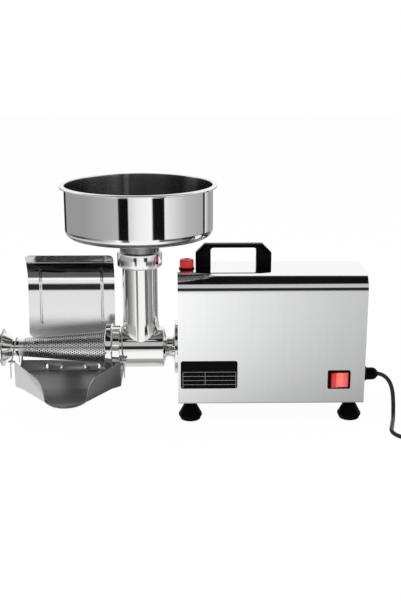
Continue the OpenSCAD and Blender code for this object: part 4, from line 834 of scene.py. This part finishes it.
class GuardOperator(bpy.types.Operator):
    """The splash guard: one sheet curved over the cone, with two pressed ribs, on tabs that stand in the tray"""
    bl_idname = "tomato_press.guard"
    bl_label = "Splash guard"

    # The sheet's middle along the screw, half its width, its corners' radius and its thickness
    MIDDLE, HALF, CORNER, SHEET = -114.0, 70.0, 8.0, 1.0
    # A rib's place, width and height, and where its two ends are up the sheet
    RIB_X, RIB_WIDE, RIB_HIGH, RIB_LOW, RIB_TOP = 49.5, 5.4, 2.2, 25.8, 114.4
    # The foot of its side view, the length of that line, and how far it leans back at distances along it
    FOOT, LENGTH = (41.0, 4.0), 147.8
    LEANS = ((0, 6.0), (76, 6.0), (80, 11.5), (85, 11.5), (93, 2.0), (108, -19.0), (134, -43.0), (150, -43.0))
    # Columns of points outside a rib
    OUTER = [57.0, 62.0, 66.0, 69.2, 70.0]
    # The boxes of tongue and foot bar and of each tab's sole and hook: from and to along X, Y and Z, and rounding
    STAND = [(-14, 14, 40.5, 41.5, -48.5, 6), (-41, 41, 40.5, 41.5, -48.5, -34.5)]
    STAND += [(x, x + 20, 32.2, y, -48.2, z) for x in (-41, 21) for y, z in ((41.5, -47.2), (33.2, -39.2))]
    SOFT = 0.3

    def lean(self, s):
        """The sheet's slope in radians at a distance up its side view."""
        for (s0, a0), (s1, a1) in zip(self.LEANS, self.LEANS[1:]):
            if s <= s1:
                break
        return math.radians(a0 + (a1 - a0) * (s - s0) / (s1 - s0))

    def side(self, s):
        """Place (y, z) and outward direction at a distance up the sheet's side view."""
        y, z = self.FOOT
        steps = max(1, round(s * 2))
        for k in range(steps):
            lean = self.lean((k + 0.5) * s / steps)
            y, z = y + math.sin(lean) * s / steps, z + math.cos(lean) * s / steps
        lean = self.lean(s)
        return y, z, math.cos(lean), -math.sin(lean)

    def grid(self):
        """Distances up the sheet and across it, close together at the corners and the ribs."""
        corner = [self.CORNER * (1 - math.cos(math.radians(9 * i))) for i in range(11)]
        rows = corner[:-1] + [self.CORNER + (self.LENGTH - 2 * self.CORNER) * i / 110 for i in range(111)]
        rows += [self.LENGTH - c for c in corner[-2::-1]]
        fine = [self.RIB_X + self.RIB_WIDE * 0.75 * k / 10 for k in range(-10, 11)]
        right = [x for x in (self.RIB_X * i / 12 for i in range(12)) if x < fine[0] - 1]
        right += fine + self.OUTER
        return rows, [-x for x in right[:0:-1]] + right

    def rise(self, x, s):
        """How far a rib is pressed in at a place of the sheet."""
        past = max(0.0, self.RIB_LOW - s, s - self.RIB_TOP)
        return self.RIB_HIGH * eased(1 - math.hypot(abs(x) - self.RIB_X, past) / (self.RIB_WIDE / 2))

    def execute(self, context):
        rows, columns = self.grid()
        rings = []
        for s in rows:
            inset = max(0.0, self.CORNER - min(s, self.LENGTH - s))
            width = self.HALF - self.CORNER + math.sqrt(max(0.0, self.CORNER ** 2 - inset ** 2))
            y, z, out_y, out_z = self.side(s)
            ring = []
            for offset, line in ((-self.SHEET / 2, columns), (self.SHEET / 2, columns[::-1])):
                for x in line:
                    out = offset - self.rise(x, s)
                    ring.append(at(self.MIDDLE + x * width / self.HALF, y + out_y * out, z + out_z * out))
            rings.append(ring)
        mesh = joined(skinned(rings), *self.stand())
        new_piece("splash_guard_sheet", mesh, "splash_guard", angle=40, finish="guard_sheet")
        return {"FINISHED"}

    def stand(self):
        """Tongue, foot bar and the two tabs that hang over the tray's back wall."""
        return [bevelled(extruded([(y0, z0), (y1, z0), (y1, z1), (y0, z1)], "X", self.MIDDLE + x0, x1 - x0),
            self.SOFT) for x0, x1, y0, y1, z0, z1 in self.STAND]


class WireOperator(bpy.types.Operator):
    """The two bent wires that carry the juice tray"""
    bl_idname = "tomato_press.wires"
    bl_label = "Tray hangers"

    # Half the distance of the tray's ears, heights of the wire's bends, its eye, its offset, and its diameter
    EAR, TOP, FOOT, TAIL, EYE, SHIFT_X, WIRE = 37.0, -11.0, -12.3, 26.0, 3.0, 2.4, 2.0
    # How far the arch leans along the screw, and its clearance over what it lies on
    LEAN, ROOM = 2.2, 0.3

    def execute(self, context):
        for node, x, radius, side in (("body_hanger", -27.7, 32.0, 1), ("strainer_hanger", -200.3, 14.2, -1)):
            path = self.leg(1, side)[::-1] + self.arch(radius, side) + self.leg(-1, side)
            path = smooth_line([at(x + p[0], p[1], p[2]) for p in path], 0.0012)
            new_piece(node + "_wire", tube(path, self.WIRE / 2 * MM, 14), node, angle=60)
        return {"FINISHED"}

    def leg(self, way, side):
        """One end of a wire: down to the ear, once round the eye and down along the tray."""
        y, z, last = self.EAR - self.EYE, self.FOOT, self.FOOT - self.TAIL
        out = [(0, way * self.EAR, self.TOP + self.WIRE), (0, way * self.EAR, z)]
        for i in range(1, 24):
            u, v = polar(self.EYE, -2 * math.pi * i / 24)
            out.append((side * self.SHIFT_X * i / 24, way * (y + u), z + v))
        return out + [(side * self.SHIFT_X, way * (self.EAR + out_y), height) for out_y, height in
            ((0, z), (self.WIRE / 4, (z + last) / 2), (self.WIRE, last))]

    def arch(self, radius, side):
        """The wire's bend over the press body or the waste spout."""
        big, top = radius + self.ROOM + self.WIRE / 2, self.TOP + self.WIRE
        tilt = math.acos(big / math.hypot(self.EAR, top)) - math.atan2(-top, self.EAR)
        turns = [tilt + (math.pi - 2 * tilt) * i / 30 for i in range(31)]
        return [(-side * self.LEAN * math.sin(a), *polar(big, a)) for a in turns]


class ScrewOperator(bpy.types.Operator):
    """The press screw: a tapering core with one wide flight whose pitch falls towards the waste outlet"""
    bl_idname = "tomato_press.screw"
    bl_label = "Press screw"

    # Where the core starts and ends, and its radius and the flight's pitch at the two ends
    START, TIP, CORE, TIP_CORE, PITCH, TIP_PITCH = 30.0, -189.5, 10.0, 6.0, 40.0, 24.0
    # The angles, in degrees, that the flight's land and each of its two flanks take
    LAND, FLANK = 64.0, 12.8
    # The flight's radius in the body's bore, and its clearance under the cone
    BORE, CLEAR, CONE = 24.8, 1.7, -48.2

    def execute(self, context):
        length = self.START - self.TIP
        edge, fine = self.LAND / 2, self.FLANK / 8
        turns = [-edge + self.LAND * i / 12 for i in range(12)] + [edge + fine * i for i in range(9)]
        turns += [edge + 9 * fine + (360 - self.LAND - 18 * fine) * i / 20 for i in range(20)]
        turns += [360 - edge - 9 * fine + fine * i for i in range(9)]
        slope = (ConeOperator.BIG - ConeOperator.TIP) / (ConeOperator.START - ConeOperator.END)
        rings = []
        for i in range(301):
            s = length * i / 300
            x = self.START - s
            cone = ConeOperator.BIG + (x - ConeOperator.START) * slope - self.CLEAR
            flight = self.BORE if x > self.CONE else cone
            core = self.CORE + (self.TIP_CORE - self.CORE) * s / length
            turn = 360 * (s / self.PITCH + s * s / length / 2 * (1 / self.TIP_PITCH - 1 / self.PITCH))
            ring = []
            for a in turns:
                off = abs((a + 180) % 360 - 180)
                r = core + (flight - core) * eased((edge + self.FLANK - off) / self.FLANK)
                ring.append(at(x, *polar(r, math.radians(a + turn))))
            rings.append(ring)
        new_piece("press_screw_smooth", skinned(rings), "press_screw", angle=50)
        return {"FINISHED"}


class TrayOperator(bpy.types.Operator):
    """The juice tray, whose slanting front walls sweep down to the lip of the spout"""
    bl_idname = "tomato_press.tray"
    bl_label = "Juice tray"

    # The tray's middle, the ends of a slanting wall in plan, and the sweep as distance from the spout and height
    MIDDLE, LIP, SHOULDER = -114.0, (32.0, -79.0), (82.5, -37.0)
    SWEEP = ((-4, -5), (17.2, -5), (17.2, -27.6), (12.6, -30.6), (8.8, -34.8), (5.9, -39.8), (3.6, -45.4),
        (1.9, -51.2), (0.8, -57.0), (0.2, -61.0), (-4, -61))
    # Faces narrower than RIM are the sheet's edge and stay bright; the others' painted shade and dullness, by how
    # far they look up or to the right, and how far they may look to the right and stay bright
    RIM, UPWARD, RIGHTWARD, SPARED = 1.1, 2.0, 1.6, 0.05

    def execute(self, context):
        along = Vector(self.SHOULDER) - Vector(self.LIP)
        cuts = []
        for side in (-1, 1):
            mesh = extruded([(side * s, z) for s, z in self.SWEEP], "Y", -3.5, 4.3)
            turn = Matrix.Rotation(side * math.atan2(along.y, along.x), 4, "Z")
            place = Matrix.Translation(at(self.MIDDLE + side * self.LIP[0], self.LIP[1], 0))
            mesh.transform(place @ turn @ Matrix.Translation(-at(0, 0, 0)))
            cuts.append(mesh)
        mesh = bevelled(combined(copied("juice_tray"), cuts=cuts), 0.3)
        # Painted shade: faces looking up into the tray or to the right get a darker colour and a duller finish
        dull = mesh.attributes.new("dull", "FLOAT", "FACE")
        for face in mesh.polygons:
            x, _, z = face.normal
            longest = max((mesh.vertices[a].co - mesh.vertices[b].co).length for a, b in face.edge_keys)
            rim = face.area < longest * self.RIM * MM
            shade = max(z * self.UPWARD, x * self.RIGHTWARD - self.SPARED, 0.0)
            dull.data[face.index].value = 0.0 if rim else min(1.0, shade)
        new_piece("juice_tray_sheet", mesh, "juice_tray", finish="tray_sheet")
        return {"FINISHED"}


class FootOperator(bpy.types.Operator):
    """The four rubber feet: cones on a ring, with the screw's well inside"""
    bl_idname = "tomato_press.feet"
    bl_label = "Rubber feet"

    # Radius, height and rounding of the section, and the feet's places
    SECTION = ((6.5, 0, 0.3), (15.6, 0, 1.5), (17.5, 5.4, 0.6), (18.4, 6.2, 0.5), (18.4, 9.2, 0.8),
        (17.4, 10.4, 0.5), (8.8, 26.5, 2.0), (8.8, 32, 0.2), (2.65, 32, 0), (2.65, 14, 0), (6.5, 14, 0))
    PLACES = [(x, y, -106) for x in (78, 330) for y in (-41, 41)]

    def execute(self, context):
        feet = [lathe(rounded(self.SECTION, 4), "Z", place, 72) for place in self.PLACES]
        new_piece("rubber_feet_round", joined(*feet), "rubber_feet", angle=40)
        return {"FINISHED"}


class PlateOperator(bpy.types.Operator):
    """The bare black plate on the housing's front"""
    bl_idname = "tomato_press.plate"
    bl_label = "Plate"

    # Its corners' radius
    CORNER = 3.4

    def execute(self, context):
        low, high = [corner / MM - Vector(CROSSING) for corner in box_of("rating_plate")]
        corners = [(x, z, self.CORNER) for x, z in
            ((low.x, low.z), (high.x, low.z), (high.x, high.z), (low.x, high.z))]
        mesh = extruded(rounded(corners, 8), "Y", low.y, high.y - low.y)
        new_piece("rating_plate_face", mesh, "rating_plate", angle=30)
        return {"FINISHED"}


class GlandOperator(bpy.types.Operator):
    """The cable gland's nut: a ringed grip and a dome that closes on the cord"""
    bl_idname = "tomato_press.gland"
    bl_label = "Gland nut"

    # The nut's place, its bore, the grip's groove and ridge radii, and the ridges' number and spacing
    PLACE, BORE, GROOVE, RIDGE, RIDGES, STEP = (355, -38, -34), 3.35, 9.2, 9.75, 5, 1.9

    def execute(self, context):
        profile = [(self.BORE, 0), (self.GROOVE, 0)]
        for i in range(self.RIDGES):
            profile += [(radius, h + self.STEP * i) for radius, h in
                ((self.GROOVE, 0.5), (self.RIDGE, 0.8), (self.RIDGE, 1.7), (self.GROOVE, 2.0))]
        profile += [(9.6 - 5.4 * (k / 8) ** 2, 10 + k) for k in range(8)] + [(4.0, 18), (self.BORE, 18)]
        new_piece("gland_nut_ringed", lathe(profile, "X", self.PLACE, 96), "gland_nut")
        return {"FINISHED"}


class EdgeOperator(bpy.types.Operator):
    """Rounds the edges of the pieces whose solids have sharp ones"""
    bl_idname = "tomato_press.edges"
    bl_label = "Rounded edges"

    # Width of the rounding in millimetres
    WIDTHS = {
        "carry_handle": 1.2, "hub_flange": 0.5, "hub_nuts": 0.5, "ring_nut": 0.7, "waste_spout": 0.5,
        "switch_housing": 0.6, "oil_filler_plug": 0.4, "gland_body": 0.4, "gearbox_housing": 1.0,
        "gearbox_cover": 0.8, "motor_shell": 0.6, "motor_end_bell": 1.0, "run_capacitor": 1.0,
        "switch_rocker": 0.5,
    }
    FINISHES = {"switch_rocker": "red_key"}

    def execute(self, context):
        for node, width in self.WIDTHS.items():
            softened(node, width, finish=self.FINISHES.get(node))
        return {"FINISHED"}


class StageOperator(bpy.types.Operator):
    """Camera, floor, soft lights and the surroundings that polished metal shows"""
    bl_idname = "tomato_press.stage"
    bl_label = "Stage"

    # The photo's height and the lens's focal length in its pixels, and where the camera is and how it is turned
    PHOTO, FOCAL, SENSOR = 601.0, 950.0, 36.0
    CAMERA, DOWN, RIGHT = (-0.006263, -1.44644, 0.58328), 15.5, 1.0
    # Place, aim, size in metres and power in watts
    LAMPS = {
        "softbox_left": ((-1.3, -1.3, 1.5), (0.0, 0.0, 0.15), 1.2, 14.0),
        "softbox_right": ((1.5, -1.2, 1.2), (0.1, 0.0, 0.15), 1.2, 9.0),
        "softbox_top": ((0.1, 0.1, 1.9), (0.0, 0.0, 0.1), 1.4, 10.0),
    }
    # Half the floor's side and its depth under the feet in metres, its white for the camera, and the light's grey
    FLOOR, BENEATH, WHITE, GREY = 6.0, 0.0002, 0.965, 0.75
    # The surroundings' brightness over the height in degrees, ahead of the press and behind it
    FRONT = ((-90, 0.20), (-72, 0.36), (-58, 0.40), (-52, 1.0), (-8, 1.0), (-5, 0.82), (-2, 0.76), (1, 0.50),
        (4, 0.02), (19, 0.02), (23, 0.55), (42, 0.50), (46, 0.006), (90, 0.004))
    REAR = ((-90, 0.20), (-30, 0.5), (0, 0.93), (10, 0.94), (70, 0.94), (75, 0.02), (90, 0.004))
    # The light and dark panels over the turn in degrees, at the heights that pan, tubes and tray show
    PAN = ((-180, 0.5), (-165, 0.5), (-164, 0.01), (-147, 0.01), (-146, 0.33), (-90, 0.33), (-29, 0.47),
        (-28, 0.006), (-14, 0.006), (-13, 0.7), (0, 0.9), (22, 1.0), (23, 0.006), (41, 0.006), (42, 0.85),
        (80, 0.5), (118, 0.4), (119, 0.01), (124, 0.01), (125, 0.8), (137, 0.35), (180, 0.4))
    TUBES = ((-180, 0.7), (-160, 0.6), (-150, 0.35), (-115, 0.06), (-95, 0.06), (-85, 0.15), (-60, 0.32),
        (-36, 0.7), (-31, 1.0), (-27, 1.0), (-22, 0.15), (-14, 0.15), (-11, 0.95), (31, 1.0), (35, 0.12),
        (68, 0.15), (74, 0.02), (96, 0.02), (101, 0.3), (107, 0.3), (112, 0.02), (132, 0.02), (150, 0.2),
        (160, 0.6), (180, 0.7))
    TRAY = ((-180, 0.7), (-130, 0.62), (-60, 0.62), (-30, 1.0), (40, 1.0), (60, 0.4), (90, 0.10), (135, 0.08),
        (160, 0.6), (180, 0.7))
    # The heights in degrees under which the panels start, the tubes' take over and the tray's do, and over how much
    PANELS, UNDER_PAN, UNDER_TUBES = (-7.3, 1.0), (-12.6, 1.0), (-18.0, 2.0)

    def execute(self, context):
        scene = context.scene
        scene.view_settings.view_transform = "Standard"
        camera = bpy.data.cameras.new("photo_camera")
        camera.sensor_width = self.SENSOR
        camera.lens = self.FOCAL / self.PHOTO * self.SENSOR
        scene.camera = placed("photo_camera", camera)
        scene.camera.location = self.CAMERA
        scene.camera.rotation_euler = (math.radians(90 - self.DOWN), 0.0, math.radians(-self.RIGHT))
        self.floor()
        for name, (place, aim, size, power) in self.LAMPS.items():
            lamp = bpy.data.lights.new(name, "AREA")
            lamp.shape = "SQUARE"
            lamp.size = size
            lamp.energy = power
            holder = placed(name, lamp)
            holder.location = place
            holder.rotation_euler = (Vector(aim) - Vector(place)).to_track_quat("-Z", "Y").to_euler()
            holder.visible_glossy = False
            holder.visible_camera = False
        self.world(scene)
        return {"FINISHED"}

    def floor(self):
        """White where the camera sees it, matt for the light and unseen in reflections."""
        work = bmesh.new()
        bmesh.ops.create_grid(work, x_segments=2, y_segments=2, size=self.FLOOR)
        mesh = ended(work)
        floor = placed("floor", mesh)
        floor.location = (0, 0, -self.BENEATH)
        material = bpy.data.materials.new("studio_floor")
        material.use_nodes = True
        tree = material.node_tree
        graph = Graph(tree)
        tree.nodes.remove(tree.nodes["Principled BSDF"])
        camera, glossy = graph.rays()
        matt = graph.add("ShaderNodeBsdfDiffuse", inputs={"Color": opaque(0.9)})
        white = graph.add("ShaderNodeEmission", inputs={"Color": opaque(1), "Strength": 1.0})
        clear = graph.add("ShaderNodeBsdfTransparent")
        seen = graph.add("ShaderNodeMixShader", inputs={0: camera * self.WHITE, 1: matt, 2: white})
        both = graph.add("ShaderNodeMixShader", inputs={0: glossy, 1: seen, 2: clear})
        tree.links.new(both.socket, tree.nodes["Material Output"].inputs["Surface"])
        mesh.materials.append(material)

    def world(self, scene):
        """White for the camera, grey for the light, and the panels for what a gloss shows."""
        world = bpy.data.worlds.new("studio")
        world.use_nodes = True
        scene.world = world
        graph = Graph(world.node_tree)
        back = world.node_tree.nodes["Background"]
        camera, glossy = graph.rays()
        x, y, z = graph.parts(graph.add("ShaderNodeTexCoord"))
        rise = graph.maths("ARCSINE", z) / math.pi + 0.5
        turn = x.angle(y * -1.0) / (2 * math.pi) + 0.5
        front, rear = (rise.ramp(*[((a + 90) / 180, shade) for a, shade in stops])
            for stops in (self.FRONT, self.REAR))
        pan, tubes, tray = (turn.ramp(*[((a + 180) / 360, shade) for a, shade in stops])
            for stops in (self.PAN, self.TUBES, self.TRAY))

        def below(angle, width):
            """1 for what is seen lower than an angle, 0 above it."""
            return ((math.sin(math.radians(angle)) - z) / (math.radians(width)) + 0.5).clamped()

        ahead = (y * -4.0 + 0.5).clamped()
        low, under_pan, under_tubes = (below(*edge) for edge in (self.PANELS, self.UNDER_PAN, self.UNDER_TUBES))
        bands = pan * (1.0 - under_pan) + under_pan * (tubes * (1.0 - under_tubes) + tray * under_tubes)
        around = front * ahead + rear * (1.0 - ahead)
        shown = around * (1.0 - low) + low * (bands.low(around) * ahead + bands * (1.0 - ahead))
        shade = camera + (shown * glossy + (1.0 - glossy) * self.GREY) * (1.0 - camera)
        graph.tree.links.new(shade.socket, back.inputs["Color"])
        back.inputs["Strength"].default_value = 1.0


PIECES = (FinishOperator, CordOperator, ConeOperator, HopperOperator, BodyOperator, GuardOperator, WireOperator,
    ScrewOperator, TrayOperator, FootOperator, PlateOperator, GlandOperator, EdgeOperator, StageOperator)


class PressPanel(bpy.types.Panel):
    """Lists the press's sizes and pieces"""
    bl_idname = "VIEW3D_PT_tomato_press"
    bl_label = "Tomato press"
    bl_space_type = "VIEW_3D"
    bl_region_type = "UI"
    bl_category = "Tomato press"

    def draw(self, context):
        for name in PressSettings.__annotations__:
            self.layout.prop(settings(), name)
        for piece in PIECES:
            self.layout.operator(piece.bl_idname)


CLASSES = (PressSettings,) + PIECES + (PressPanel,)


def register():
    for cls in CLASSES:
        bpy.utils.register_class(cls)
    bpy.types.Scene.tomato_press = bpy.props.PointerProperty(type=PressSettings)


def unregister():
    del bpy.types.Scene.tomato_press
    for cls in reversed(CLASSES):
        bpy.utils.unregister_class(cls)


def main():
    register()
    for piece in PIECES:
        group, name = piece.bl_idname.split(".")
        getattr(getattr(bpy.ops, group), name)()


if __name__ == "__main__":
    main()
